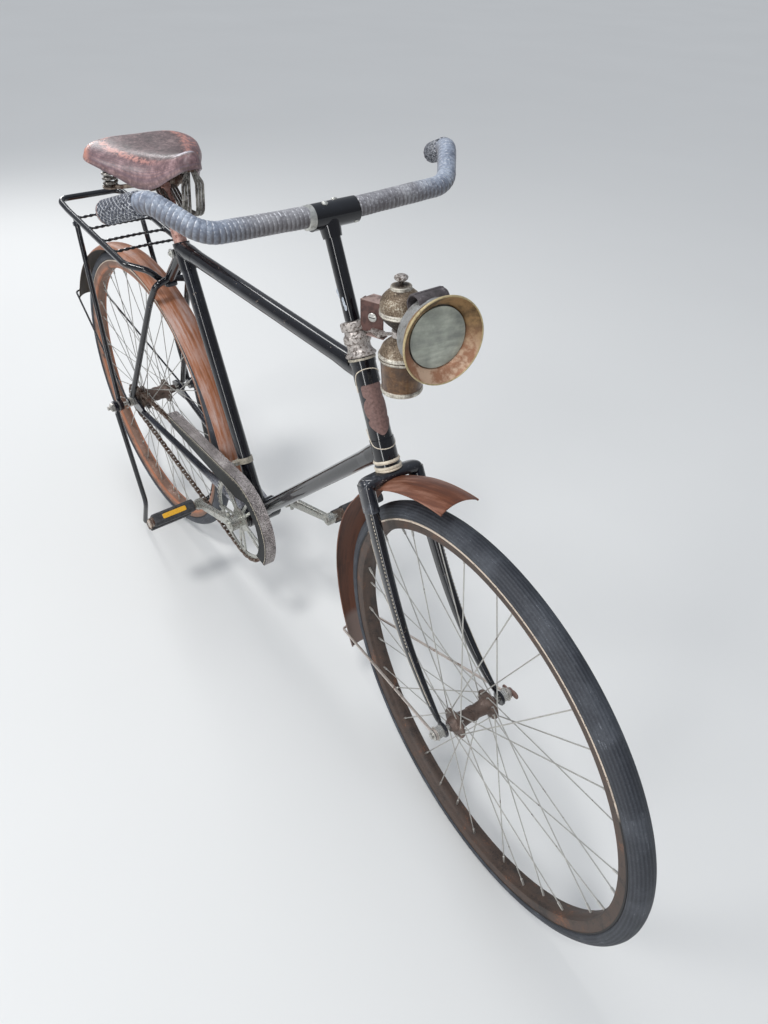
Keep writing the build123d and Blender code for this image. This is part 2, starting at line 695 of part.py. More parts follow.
def make_fork_blade(side):
    """Tapered blade that sweeps forward to its end plate."""
    sections = []
    for before, station, after in zip((BLADE[0], *BLADE), BLADE, (*BLADE[1:], BLADE[-1])):
        way = (blade_point(after, side) - blade_point(before, side)).normalized()
        if station is BLADE[0]:
            way = -HEAD_UP
        across_way = Y_AXIS - way * way.Y
        sections.append(at_point(blade_point(station, side), way, across_way) * slot_face(station))
    blade = loft(sections, ruled=True)
    tip = across(FRONT_AXLE, side * AXLE_FORK_IN_Y, side * AXLE_FORK_OUT_Y, FORK_END_R)
    link = blade_point(BLADE[-1], side)
    corners = ((link.X - 6, link.Z - 4), (link.X + 7, link.Z + 5), (WHEELBASE + 8, 8), (WHEELBASE - 8, -8))
    tip += slab(corners, side * AXLE_FORK_IN_Y, side * AXLE_FORK_OUT_Y)
    return blade + tip - across(FRONT_AXLE, -FRONT_AXLE_HALF, FRONT_AXLE_HALF, AXLE_R)


def make_front_axle():
    axle = across(FRONT_AXLE, -FRONT_AXLE_HALF, FRONT_AXLE_HALF, AXLE_R)
    for side in (-1, 1):
        axle += nut(FRONT_AXLE, side * FORK_NUT_Y[0], side * FORK_NUT_Y[1])
    return axle


# Handlebar

TAPE_R = 14.6
GRIP_R = 16.0
GRIP_LENGTH = 70.0
BAR_LUG_HALF = 36.0
BAR_LUG_WALL = 3.0
STEM_R = 11.0
BAR_UP = 194.2
BAR_CENTRE = HEAD_TOP + HEAD_UP * BAR_UP
BAR_SHIFT = Vector(3.9, 8.5, 2.8)
BAR_CORNERS = (Vector(0, 0, 0), Vector(4.7, 189.9, 7.7), Vector(-50.8, 233.2, 39.8), Vector(-124.5, 266.8, 10.6))
BAR_BENDS = (43.0, 32.0)


def bar_corners(side):
    """Corner points of one half of the bar, from the lug outwards."""
    return [BAR_CENTRE + BAR_SHIFT + on_side(corner, side) for corner in BAR_CORNERS]


def grip_start(side):
    corners = bar_corners(side)
    return corners[3] + (corners[2] - corners[3]).normalized() * GRIP_LENGTH


def bar_lug():
    middle = BAR_CENTRE + Y_AXIS * BAR_SHIFT.Y
    return rod(middle - Y_AXIS * BAR_LUG_HALF, middle + Y_AXIS * BAR_LUG_HALF, TAPE_R + BAR_LUG_WALL)


def make_handlebar_stem():
    stem = rod(HEAD_TOP + HEAD_UP * STEERER_OUT, BAR_CENTRE, STEM_R) + bar_lug()
    return stem + rod(BAR_CENTRE - HEAD_UP * 30, BAR_CENTRE - HEAD_UP * 8, STEM_R + 2.5, STEM_R + 5)


def make_handlebar():
    """Taped bar either side of the lug, up to the grips."""
    halves = []
    for side in (-1, 1):
        corners = bar_corners(side)
        start = corners[0] + (corners[1] - corners[0]).normalized() * BAR_LUG_HALF
        halves.append(bent_bar([start, corners[1], corners[2], grip_start(side)], BAR_BENDS, TAPE_R))
    return fused(halves) - bar_lug()


def make_grip(side):
    corners = bar_corners(side)
    way = (corners[3] - corners[2]).normalized()
    return rod(grip_start(side), corners[3], GRIP_R) + rod(corners[3], corners[3] + way * 3, GRIP_R, GRIP_R - 3)


# Height above the head tube and radius of the steps of the upper headset, with the lamp's clamp last
HEADSET_STEPS = (
    (0.6, 22.0), (4.0, 22.0), (11.0, 16.0), (20.0, 16.0), (20.0, 19.0), (32.0, 19.0), (32.0, 16.0), (52.0, 16.0),
)
LAMP_CLAMP = (40.0, 49.0)
LAMP_CLAMP_WALL = 3.0


def make_headset_top():
    body = spun(HEAD_TOP, HEAD_UP, HEADSET_STEPS)
    return body - rod(HEAD_TOP - HEAD_UP, HEAD_TOP + HEAD_UP * (STEERER_OUT + 8), STEERER_R)


# Lamp, drawn as if the steering were straight

LAMP_FOOT = FRONT_AXLE + Vector(-225.0, 0, 472.0)
LAMP_TOP = LAMP_FOOT + Vector(-10.4, 0, 157.6)
LAMP_UP = (LAMP_TOP - LAMP_FOOT).normalized()
# Height and radius of the generator's outline: can, screw ring, shoulder, neck, water chamber, dome and valve stem
GENERATOR_STEPS = (
    (0.0, 28.5), (6.0, 28.5), (7.0, 27.4), (46.0, 28.4), (47.0, 31.0), (56.0, 31.0), (57.0, 29.0), (66.0, 25.0),
    (74.0, 15.0), (77.0, 9.5), (88.0, 9.5), (93.0, 21.0), (98.0, 27.0), (99.0, 28.6), (104.0, 28.6), (105.0, 27.4),
    (122.0, 25.4), (133.0, 20.5), (140.0, 14.0), (145.0, 13.0), (145.0, 3.0), (151.0, 3.0), (151.0, 7.6),
    (154.5, 8.8), (158.0, 5.5),
)
NECK_LEVEL = 82.0
NECK_R = 9.5
NECK_RING_HALF = 5.0
RIM_CENTRE = LAMP_FOOT + Vector(81.2, 0, 109.2)
LAMP_PITCH_DEG = 5.5
LAMP_YAW_DEG = -5.5
# Distance from the rim, forward positive, and radius: outside of the bell and burner chamber, then the inside
BELL_OUTSIDE = ((0.0, 53.6), (0.0, 55.0), (-3.0, 55.0), (-17.0, 45.0), (-36.0, 44.0), (-56.0, 24.0), (-66.0, 16.0))
BELL_INSIDE = ((-40.0, 30.0), (-18.0, 36.0), (-16.0, 38.6), (-12.8, 38.6), (-11.0, 42.0), (0.0, 53.6))
GLASS_R = 38.5
GLASS_FROM = -15.9
GLASS_THICK = 2.4
HOOD_AT = Vector(-38.0, 1.5, 35.0)
HOOD_HALF = 22.0
HOOD_YAW_DEG = 6.0
HOOD_R = 15.0
HOOD_WALL = 1.5
PLATE_SIZE = Vector(34.0, 3.0, 44.0)
PLATE_AT = LAMP_FOOT + Vector(-89.0, 10.0, 66.0)
PLATE_YAW_DEG = 26.0


def lamp_beam():
    """Location of the rim: its Z axis is the beam and its X axis points down."""
    pitch, yaw = math.radians(LAMP_PITCH_DEG), math.radians(LAMP_YAW_DEG)
    beam = Vector(math.cos(pitch) * math.cos(yaw), math.cos(pitch) * math.sin(yaw), math.sin(pitch))
    down = Vector(math.sin(pitch) * math.cos(yaw), math.sin(pitch) * math.sin(yaw), -math.cos(pitch))
    return at_point(RIM_CENTRE, beam, down).location


def lamp_turned(profile):
    """Solid of revolution about the beam from (distance, radius) pairs."""
    return lamp_beam() * Rot(90, 0, 0) * turned([(r, d) for d, r in profile])


def make_lamp_bracket():
    """Clamp ring on the headset, flat arms and the upright plate between them."""
    low, high = (HEAD_TOP + HEAD_UP * up for up in LAMP_CLAMP)
    clamp_r = HEADSET_STEPS[-1][1]
    bracket = rod(low, high, clamp_r + LAMP_CLAMP_WALL)
    plate_at = Pos(*PLATE_AT) * Rot(0, 0, PLATE_YAW_DEG)
    bracket += plate_at * Box(*PLATE_SIZE) + plate_at * Pos(0, 10, PLATE_SIZE.Z / 2 - 1.5) * Box(34, 22, 3)
    ring_at = lerp(low, high, 0.5)
    neck_at = LAMP_FOOT + LAMP_UP * NECK_LEVEL
    plate_low, plate_fore = PLATE_AT - Vector(6, 4, 14), PLATE_AT + Vector(8, 3, 8)
    for a, b in ((ring_at + Y_AXIS * 10, plate_low), (plate_fore, neck_at)):
        arm = at_point(a, b - a, Vector(0, 0, 1)).location
        bracket += arm * Box(13, 4, (b - a).length, align=UPWARD)
    bracket += rod(neck_at - LAMP_UP * NECK_RING_HALF, neck_at + LAMP_UP * NECK_RING_HALF, NECK_R + 3)
    bracket -= rod(neck_at - LAMP_UP * 10, neck_at + LAMP_UP * 10, NECK_R)
    bracket -= make_lamp_generator()
    return bracket - rod(HEAD_TOP, HEAD_TOP + HEAD_UP * (STEERER_OUT + 8), clamp_r)


def make_lamp_generator():
    """Carbide can, neck, water chamber with its dome and the valve knob."""
    return spun(LAMP_FOOT, LAMP_UP, GENERATOR_STEPS)


def make_lamp_head():
    """Bell and burner chamber, open at the front, with the vent hood across the top."""
    hood = lamp_beam() * Pos(-HOOD_AT.Z, HOOD_AT.Y, HOOD_AT.X) * Rot(90 - HOOD_YAW_DEG, 0, 0)
    head = lamp_turned(((-66.0, 0.0), (0.0, 0.0), *BELL_OUTSIDE)) + hood * Cylinder(HOOD_R, 2 * HOOD_HALF)
    for way in (-1, 1):
        head -= hood * Pos(0, 0, way * (HOOD_HALF - 6)) * Cylinder(HOOD_R - HOOD_WALL, 12.2)
    head -= lamp_turned(((0.5, 0.0), (-40.0, 0.0), *BELL_INSIDE, (0.5, 53.8)))
    return head - make_lamp_generator()


def make_lamp_glass():
    return lamp_beam() * Pos(0, 0, GLASS_FROM) * Cylinder(GLASS_R, GLASS_THICK, align=UPWARD)


# Wheels


@dataclass(frozen=True)
class Wheel:
    """Sizes of one wheel; the flanges are given by half their spacing and their radius."""

    tyre_r: float
    spokes: int
    crosses: int
    flange_y: float
    flange_r: float
    barrel_r: float
    hub_half: float

    @property
    def seat_r(self):
        """Radius where the tyre sits on the rim."""
        return self.tyre_r - 2 * TYRE_SECTION_R + TYRE_SEAT


TYRE_SEAT = 12.0
TYRE_FACETS = 5
RIM_DEPTH = 15.0
RIM_HALF = 17.0
SPOKE_W = 2.0
SPOKE_END_Y = 3.0
FRONT_WHEEL = Wheel(FRONT_TYRE_R, 32, 3, 32.0, 20.0, 12.5, 44.0)
REAR_WHEEL = Wheel(REAR_TYRE_R, 40, 3, 28.0, 24.0, 17.0, 50.0)


def make_tyre(wheel, centre):
    """Tyre with a many-sided section, seated on the rim."""
    middle = wheel.tyre_r - TYRE_SECTION_R
    half_deg = math.degrees(math.acos((wheel.seat_r - middle) / TYRE_SECTION_R))
    section = []
    for i in range(TYRE_FACETS + 1):
        angle = math.radians(lerp(-half_deg, half_deg, i / TYRE_FACETS))
        r = TYRE_SECTION_R if i in (0, TYRE_FACETS) else TYRE_SECTION_R / math.cos(math.radians(half_deg / TYRE_FACETS))
        section.append((min(wheel.tyre_r, middle + r * math.cos(angle)), r * math.sin(angle)))
    return Pos(*centre) * turned(section)


def make_rim(wheel, centre):
    seat, low = wheel.seat_r, wheel.seat_r - RIM_DEPTH
    right = [(seat, -RIM_HALF), (seat - 3, -RIM_HALF - 1.5), (seat - 8, -RIM_HALF + 1), (low + 1, -7)]
    left = [(r, -y) for r, y in reversed(right)]
    return Pos(*centre) * turned(right + [(low, 0)] + left)


def make_spokes(wheel, centre):
    """Straight spokes, laced over three others on each side."""
    end_r = wheel.seat_r - RIM_DEPTH + 0.8
    per_side = wheel.spokes // 2
    pitch = 2 * math.pi / per_side
    solids = []
    for side in (-1, 1):
        for i in range(per_side):
            lead = 1 if i % 2 else -1
            hub_angle = pitch * i + (0 if side > 0 else pitch / 2)
            rim_angle = hub_angle + lead * wheel.crosses * pitch * 0.98
            y_hub = side * (wheel.flange_y + lead * (SPOKE_W + 0.6))
            a = Vector(wheel.flange_r * math.cos(hub_angle), y_hub, wheel.flange_r * math.sin(hub_angle))
            b = Vector(end_r * math.cos(rim_angle), side * SPOKE_END_Y, end_r * math.sin(rim_angle))
            spoke = Box(SPOKE_W, SPOKE_W, (b - a).length, align=UPWARD)
            solids.append(Pos(*centre) * at_point(a, b - a).location * spoke)
    return Compound(children=solids)


def make_hub(wheel, centre):
    """Barrel hub with two spoke flanges."""
    f, fy, b = wheel.flange_r + 5, wheel.flange_y, wheel.barrel_r
    right = [(0, -wheel.hub_half), (9, -wheel.hub_half), (12, -fy - 2), (f, -fy - 1.6), (f, -fy + 1.6), (b + 1, -fy + 4)]
    left = [(r, -y) for r, y in reversed(right)]
    hub = turned(right + [(b - 1.5, 0)] + left)
    return Pos(*centre) * (hub - across(REAR_AXLE, -wheel.hub_half - 5, wheel.hub_half + 5, AXLE_R + BEARING_GAP))


TOOTH_TIP = 3.4
TOOTH_ROOT = 3.6


def toothed(teeth):
    """Outline of a sprocket with pointed teeth, as (x, z) pairs about its own centre."""
    r = pitch_radius(teeth)
    corners = ((-0.30, r - TOOTH_ROOT), (-0.12, r + TOOTH_TIP), (0.12, r + TOOTH_TIP), (0.30, r - TOOTH_ROOT))
    angles = [(2 * math.pi * (i + share) / teeth, rr) for i in range(teeth) for share, rr in corners]
    return [(rr * math.cos(a), rr * math.sin(a)) for a, rr in angles]


FREEWHEEL_R = 19.0
FREEWHEEL_IN_Y = -31.0


def make_sprocket():
    disc = slab(toothed(SPROCKET_TEETH), CHAIN_Y - SPROCKET_THICK / 2, CHAIN_Y + SPROCKET_THICK / 2)
    disc += across(REAR_AXLE, CHAIN_Y - SPROCKET_THICK / 2, FREEWHEEL_IN_Y, FREEWHEEL_R)
    return disc - across(REAR_AXLE, CHAIN_Y - 12, FREEWHEEL_IN_Y + 11, 12.5)


# Crank

CRANK_LENGTH = 165.0
CRANK_DEG = 199.0
ARM_Y = 68.0
CRANK_BOSS_R = 14.0
CRANK_BOSS_IN_Y = -42.5
CRANK_EYE_R = 16.5
CRANK_EYE_HALF = 9.0
PEDAL_EYE_R = 12.0
PEDAL_EYE_HALF = 6.8
SPIDER_R = 27.0
SPIDER_ARMS = 5
RING_BAND = 12.0


def make_chainring():
    """Toothed ring joined to its middle by five looped arms."""
    y0, y1 = CHAIN_Y - RING_THICK / 2, CHAIN_Y + RING_THICK / 2
    r = pitch_radius(RING_TEETH)
    ring = slab(toothed(RING_TEETH), y0, y1) - across(REAR_AXLE, y0 - 2, y1 + 2, r - RING_BAND)
    ring += across(REAR_AXLE, y0, y1, SPIDER_R)
    for i in range(SPIDER_ARMS):
        arm = slab([(20, -7), (r - 9, -13), (r - 9, 13), (20, 7)], y0, y1)
        arm -= slab([(34, -2.5), (r - 17, -6.5), (r - 17, 6.5), (34, 2.5)], y0 - 2, y1 + 2)
        ring += Rot(0, -CRANK_DEG - 360 * i / SPIDER_ARMS, 0) * arm
    return Pos(*BRACKET) * (ring - across(REAR_AXLE, y0 - 20, y1 + 8, CRANK_BOSS_R))


def crank_tip(side):
    angle = math.radians(CRANK_DEG if side < 0 else CRANK_DEG + 180)
    return BRACKET + Vector(CRANK_LENGTH * math.cos(angle), side * ARM_Y, CRANK_LENGTH * math.sin(angle))


PEDAL_AXLE_R = 4.2
PEDAL_AXLE_OUT = 122.0
PEDAL_FROM = 19.0
PEDAL_LENGTH = 100.0
PEDAL_DEPTH = 68.0
PEDAL_BLOCK = Vector(24.0, 0, 27.0)
PEDAL_PLATE = Vector(PEDAL_DEPTH - 4, 3.0, 22.0)
PEDAL_GROOVES = 3
PEDAL_SLEEVE_R = 9.0
PEDAL_TURN_DEG = -48.0


def make_crank_arms():
    """Axle through the bracket, two cottered arms and the boss that carries the chainring."""
    body = bracket_bar(ARM_Y + 2, BRACKET_AXLE_R)
    body += across(BRACKET, -ARM_Y - 2, CRANK_BOSS_IN_Y, CRANK_BOSS_R)
    for side in (-1, 1):
        hub, tip = BRACKET + Y_AXIS * side * ARM_Y, crank_tip(side)
        start = at_point(hub, tip - hub, x_dir=Y_AXIS)
        ends = [start * RectangleRounded(12, 22, 3), start.offset(CRANK_LENGTH) * RectangleRounded(11, 16, 3)]
        body += loft(ends)
        body += across(hub, side * (ARM_Y - CRANK_EYE_HALF), side * (ARM_Y + CRANK_EYE_HALF), CRANK_EYE_R)
        body += across(tip, side * (ARM_Y - PEDAL_EYE_HALF), side * (ARM_Y + PEDAL_EYE_HALF), PEDAL_EYE_R)
        body += across(tip, side * (ARM_Y + PEDAL_EYE_HALF - 1), side * (ARM_Y + PEDAL_AXLE_OUT), PEDAL_AXLE_R)
    return body


def make_pedal(side):
    """Two grooved rubber blocks between end plates, on a sleeve that turns on the pedal axle."""
    body = across(REAR_AXLE, 0, PEDAL_LENGTH, PEDAL_SLEEVE_R)
    for y in (0, PEDAL_LENGTH - PEDAL_PLATE.Y):
        plate = extrude(RectangleRounded(PEDAL_PLATE.X, PEDAL_PLATE.Z, 6), PEDAL_PLATE.Y)
        body += Pos(0, y + PEDAL_PLATE.Y, 0) * Rot(90, 0, 0) * plate
    for way in (-1, 1):
        x = way * (PEDAL_DEPTH - PEDAL_BLOCK.X) / 2
        block = extrude(RectangleRounded(PEDAL_BLOCK.X, PEDAL_BLOCK.Z, 4), PEDAL_LENGTH)
        block = Pos(x, PEDAL_LENGTH, 0) * Rot(90, 0, 0) * block
        for i in range(PEDAL_GROOVES):
            z = (i - (PEDAL_GROOVES - 1) / 2) * PEDAL_BLOCK.Z / (PEDAL_GROOVES + 1)
            block -= Pos(way * PEDAL_DEPTH / 2, PEDAL_LENGTH / 2, z) * Box(4, PEDAL_LENGTH + 2, 2.4)
        body += block
    body -= across(REAR_AXLE, -2, PEDAL_LENGTH + 2, PEDAL_AXLE_R + BEARING_GAP)
    body = Pos(0, ARM_Y + PEDAL_FROM, 0) * Rot(0, PEDAL_TURN_DEG, 0) * body
    if side < 0:
        body = body.mirror(Plane.XZ)
    tip = crank_tip(side)
    return Pos(tip.X, 0, tip.Z) * body


# Stand

STAND_BAR_R = 6.0
STAND_TYRE_GAP = 5.9
STAND_HUB_R = 14.0
STAND_KNEE = Vector(70.0, 100.5, -256.0)
STAND_FOOT = REAR_AXLE + Vector(27.0, 100.0, -(REAR_TYRE_R + STAND_TYRE_GAP + STAND_BAR_R))
STAND_BENDS = (60.0, 24.0)


def make_rear_stand():
    """Two legs that turn on the rear axle, joined under the tyre."""
    hub_y = (STAND_HUB_Y[0] + STAND_HUB_Y[1]) / 2
    start = REAR_AXLE + Vector(3, hub_y, -9)
    left = [start, STAND_KNEE, STAND_FOOT]
    right = [on_side(p, -1) for p in reversed(left)]
    stand = bent_bar(left + right, [*STAND_BENDS, *reversed(STAND_BENDS)], STAND_BAR_R)
    for side in (-1, 1):
        stand += across(REAR_AXLE, side * STAND_HUB_Y[0], side * STAND_HUB_Y[1], STAND_HUB_R)
        stand -= across(REAR_AXLE, side * (STAND_HUB_Y[1]), side * (STAND_HUB_Y[1] + 8), STAND_HUB_R + 4)
    return stand - across(REAR_AXLE, -REAR_AXLE_HALF, REAR_AXLE_HALF, AXLE_R + BEARING_GAP)


# Placing and writing

FRAME_MIDDLE = Vector(571.5, 15.3, 0)


def swung(vector, axis, degrees):
    """Vector turned about an axis direction."""
    a = math.radians(degrees)
    return vector * math.cos(a) + axis.cross(vector) * math.sin(a) + axis * (axis.dot(vector) * (1 - math.cos(a)))


def stance():
    """Tip in degrees and the axle's height at which the front tyre and the stand's feet both touch the floor."""
    hub = HEAD_TOP + swung(FRONT_AXLE - HEAD_TOP, HEAD_UP, STEER_DEG) - FRONT_AXLE
    side = swung(Y_AXIS, HEAD_UP, STEER_DEG)
    foot = STAND_FOOT - FRONT_AXLE
    tip = 0.0
    for _ in range(4):
        hub_z = swung(hub, Y_AXIS, tip).Z
        side_z = swung(side, Y_AXIS, tip).Z
        height = (FRONT_TYRE_R - TYRE_SECTION_R) * math.sqrt(1 - side_z**2) + TYRE_SECTION_R - hub_z
        lean = math.atan2(-foot.Z, -foot.X)
        tip = math.degrees(lean - math.asin((height - STAND_BAR_R) / math.hypot(foot.X, foot.Z)))
    return tip, height


def steered(solid, degrees):
    return solid.rotate(Axis(HEAD_TOP, HEAD_UP), degrees)


def place(solid, tip, height):
    """Tip about the front axle, then move the origin to the floor under the middle."""
    tipped = solid.rotate(Axis(FRONT_AXLE, Y_AXIS), tip)
    return Pos(-FRAME_MIDDLE.X, -FRAME_MIDDLE.Y, height) * tipped


def nodes():
    """Every node's name with its solid, turned with the steering where it belongs to that."""
    yield "head_tube", make_head_tube()
    yield "top_tube", make_top_tube()
    yield "down_tube", make_down_tube()
    yield "seat_tube", make_seat_tube()
    yield "bottom_bracket", make_bottom_bracket()
    yield "chain_stays", make_chain_stays()
    yield "seat_stays", make_seat_stays()
    yield "rear_axle", make_rear_axle()
    yield "seat_pillar", make_seat_pillar()
    yield "saddle_top", make_saddle_top()
    yield "saddle_springs", make_saddle_springs()
    yield "rear_mudguard", mudguard(REAR_GUARD)
    yield "rear_mudguard_stays", guard_stays(REAR_AXLE, REAR_GUARD, GUARD_EYE_Y)
    yield "rack_frame", make_rack_frame()
    yield "rack_rods", make_rack_rods()
    yield "chain_guard", make_chain_guard()
    yield "chain", make_chain()
    yield "seat_tube_clip", make_seat_tube_clip()
    yield "rear_tyre", make_tyre(REAR_WHEEL, REAR_AXLE)
    yield "rear_rim", make_rim(REAR_WHEEL, REAR_AXLE)
    yield "rear_spokes", make_spokes(REAR_WHEEL, REAR_AXLE)
    yield "rear_hub", make_hub(REAR_WHEEL, REAR_AXLE)
    yield "rear_sprocket", make_sprocket()
    yield "chainring", make_chainring()
    yield "crank_arms", make_crank_arms()
    yield "pedal_right", make_pedal(-1)
    yield "pedal_left", make_pedal(1)
    yield "rear_stand", make_rear_stand()
    yield "fork_crown", steered(make_fork_crown(), STEER_DEG)
    yield "fork_blade_right", steered(make_fork_blade(-1), STEER_DEG)
    yield "fork_blade_left", steered(make_fork_blade(1), STEER_DEG)
    yield "front_axle", steered(make_front_axle(), STEER_DEG)
    yield "front_mudguard", steered(mudguard(FRONT_GUARD), STEER_DEG)
    yield "front_mudguard_stays", steered(guard_stays(FRONT_AXLE, FRONT_GUARD, FORK_EYE_Y), STEER_DEG)
    yield "front_tyre", steered(make_tyre(FRONT_WHEEL, FRONT_AXLE), STEER_DEG)
    yield "front_rim", steered(make_rim(FRONT_WHEEL, FRONT_AXLE), STEER_DEG)
    yield "front_spokes", steered(make_spokes(FRONT_WHEEL, FRONT_AXLE), STEER_DEG)
    yield "front_hub", steered(make_hub(FRONT_WHEEL, FRONT_AXLE), STEER_DEG)
    yield "headset_top", steered(make_headset_top(), STEER_DEG)
    yield "lamp_bracket", steered(make_lamp_bracket(), LAMP_STEER_DEG)
    yield "lamp_generator", steered(make_lamp_generator(), LAMP_STEER_DEG)
    yield "lamp_head", steered(make_lamp_head(), LAMP_STEER_DEG)
    yield "lamp_glass", steered(make_lamp_glass(), LAMP_STEER_DEG)
    yield "handlebar_stem", steered(make_handlebar_stem(), BAR_STEER_DEG)
    yield "handlebar", steered(make_handlebar(), BAR_STEER_DEG)
    yield "grip_right", steered(make_grip(-1), BAR_STEER_DEG)
    yield "grip_left", steered(make_grip(1), BAR_STEER_DEG)


def main():
    os.makedirs("parts", exist_ok=True)
    tip, height = stance()
    for name, solid in nodes():
        export_step(place(solid, tip, height), f"parts/{name}.step")


main()
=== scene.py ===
"""Looks of the vintage roadster bicycle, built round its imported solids.

Every shape is worked out in millimetres in a level working frame whose origin is the middle of the rear axle, with +X
forward, +Y to the rider's left and +Z up. Seat.place turns it with the steering where it belongs to that, tips the
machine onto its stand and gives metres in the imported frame.
"""

import logging
import math
from dataclasses import dataclass, field
from enum import Enum
from typing import Callable, Iterable, Iterator, Sequence

import bpy
import numpy as np
from mathutils import Matrix, Vector

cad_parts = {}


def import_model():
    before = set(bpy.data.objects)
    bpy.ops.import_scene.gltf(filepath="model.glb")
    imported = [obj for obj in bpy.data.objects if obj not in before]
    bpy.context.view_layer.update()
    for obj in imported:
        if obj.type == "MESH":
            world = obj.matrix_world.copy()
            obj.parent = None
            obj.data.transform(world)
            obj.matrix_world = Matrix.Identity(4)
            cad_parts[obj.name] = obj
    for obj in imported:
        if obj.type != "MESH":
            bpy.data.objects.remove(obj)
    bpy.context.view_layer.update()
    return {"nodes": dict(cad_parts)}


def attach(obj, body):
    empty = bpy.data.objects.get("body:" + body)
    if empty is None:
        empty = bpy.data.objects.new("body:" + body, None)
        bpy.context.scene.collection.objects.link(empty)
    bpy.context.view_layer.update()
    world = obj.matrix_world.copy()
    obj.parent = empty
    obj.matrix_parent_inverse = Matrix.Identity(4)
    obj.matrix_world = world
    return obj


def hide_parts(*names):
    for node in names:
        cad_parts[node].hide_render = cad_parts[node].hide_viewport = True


LOG = logging.getLogger("bicycle")
Array = np.ndarray
Colour = tuple[float, float, float]
Material = bpy.types.Material
Table = Sequence[Sequence[float]]


def xyz(x: float, y: float, z: float) -> Array:
    """A point or a direction."""
    return np.array([x, y, z], float)


TIP = math.radians(0.6489092)
AXLE_HEIGHT = 354.74338
FRAME_MIDDLE = xyz(571.5, 15.3, 0.0)
WHEELBASE = 1142.5
FRONT_AXLE = xyz(WHEELBASE, 0.0, 0.0)
BRACKET = xyz(490.2, 0.0, -42.2)
SEAT_CLUSTER = BRACKET + xyz(-231.6, 0.0, 491.9)
HEAD_BOTTOM = FRONT_AXLE + xyz(-253.7, 0.0, 326.8)
HEAD_TOP = HEAD_BOTTOM + xyz(-72.3, 0.0, 146.7)
HEAD_LENGTH = float(np.linalg.norm(HEAD_TOP - HEAD_BOTTOM))
HEAD_UP = (HEAD_TOP - HEAD_BOTTOM) / HEAD_LENGTH
HEAD_AHEAD = xyz(HEAD_UP[2], 0.0, -HEAD_UP[0])
SEAT_TUBE_UP = (SEAT_CLUSTER - BRACKET) / np.linalg.norm(SEAT_CLUSTER - BRACKET)
SEAT_TUBE_BACK = xyz(-SEAT_TUBE_UP[2], 0.0, SEAT_TUBE_UP[0])
LEFT = xyz(0.0, 1.0, 0.0)
UP = xyz(0.0, 0.0, 1.0)
HEAD_TUBE_R = 17.0


def turn_about(points: Array, origin: Array, axis: Array, degrees: float) -> Array:
    """Points turned about a line: the part along the axis stays, the rest turns in its plane.

    Args:
        points: Array whose last side is x, y, z.
        origin: A point on the line.
        axis: Unit direction of the line.
        degrees: Angle by the right-hand rule.

    Returns:
        Array of the same shape.
    """
    a = math.radians(degrees)
    v = points - origin
    along = (v @ axis)[..., None] * axis
    return origin + along + (v - along) * math.cos(a) + np.cross(axis, v) * math.sin(a)


class Seat(Enum):
    """The body that a piece rides on, with how far the steering turns its shape."""

    FRAME = ("frame", 0.0)
    FORK = ("steering", -8.0)
    LAMP = ("steering", -5.65)
    BAR = ("steering", -3.6)
    FRONT_WHEEL = ("front_wheel", -8.0)
    REAR_WHEEL = ("rear_wheel", 0.0)
    CRANK = ("crank", 0.0)
    PEDAL_RIGHT = ("pedal_right", 0.0)
    PEDAL_LEFT = ("pedal_left", 0.0)

    @property
    def body(self) -> str:
        """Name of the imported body."""
        return self.value[0]

    def place(self, points: Array) -> Array:
        """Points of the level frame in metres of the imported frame: turned, tipped about the front axle, moved.

        Args:
            points: Array in millimetres.

        Returns:
            Array in metres.
        """
        p = turn_about(points, HEAD_TOP, HEAD_UP, self.value[1]) if self.value[1] else points
        p = turn_about(p, FRONT_AXLE, LEFT, math.degrees(TIP))
        return (p - FRAME_MIDDLE + xyz(0.0, 0.0, AXLE_HEIGHT)) / 1000.0


def unit(v: Array) -> Array:
    """Vectors scaled to length one along the last side."""
    return v / np.maximum(np.linalg.norm(v, axis=-1, keepdims=True), 1e-9)


def wave(u: Array | float) -> Array | float:
    """Cosine of whole turns."""
    return np.cos(2.0 * np.pi * u)


def circle(count: int) -> Array:
    """Even angles of one whole turn, without its end."""
    return np.linspace(0, 2 * np.pi, count, endpoint=False)


def in_wheel(angle: Array) -> Array:
    """Points of the unit circle in a wheel's plane."""
    return np.stack([np.cos(angle), 0 * angle, np.sin(angle)], -1)


def swelled(value: Array, power: float) -> Array:
    """Power of the value's size with its sign kept, which makes a circle squarer where the power is below 1."""
    return np.sign(value) * np.abs(value) ** power


def smooth_through(table: Table, count: int) -> Array:
    """Even samples of the smooth curve through the rows of a table, each span a cubic with chord tangents.

    Args:
        table: Rows to pass through.
        count: Number of samples.

    Returns:
        Array of count rows.
    """
    p = np.asarray(table, float)
    t = np.linspace(0.0, len(p) - 1.0, count)
    i = np.minimum(t.astype(int), len(p) - 2)
    f = (t - i)[:, None]
    a, b, c, d = (p[np.clip(i + k, 0, len(p) - 1)] for k in (-1, 0, 1, 2))
    return 0.5 * (2 * b + (c - a) * f + (2 * a - 5 * b + 4 * c - d) * f**2 + (3 * b - 3 * c + d - a) * f**3)


def spaced(path: Array, spacing: Callable[[float], Array]) -> tuple[Array, float]:
    """Points of a path at chosen lengths along it.

    Args:
        path: Points along the middle.
        spacing: Gives the lengths from the path's whole length.

    Returns:
        The points and the whole length.
    """
    steps = np.concatenate([[0], np.cumsum(np.linalg.norm(np.diff(path, axis=0), axis=1))])
    at = spacing(steps[-1])
    return np.stack([np.interp(at, steps, path[:, k]) for k in range(3)], -1), steps[-1]


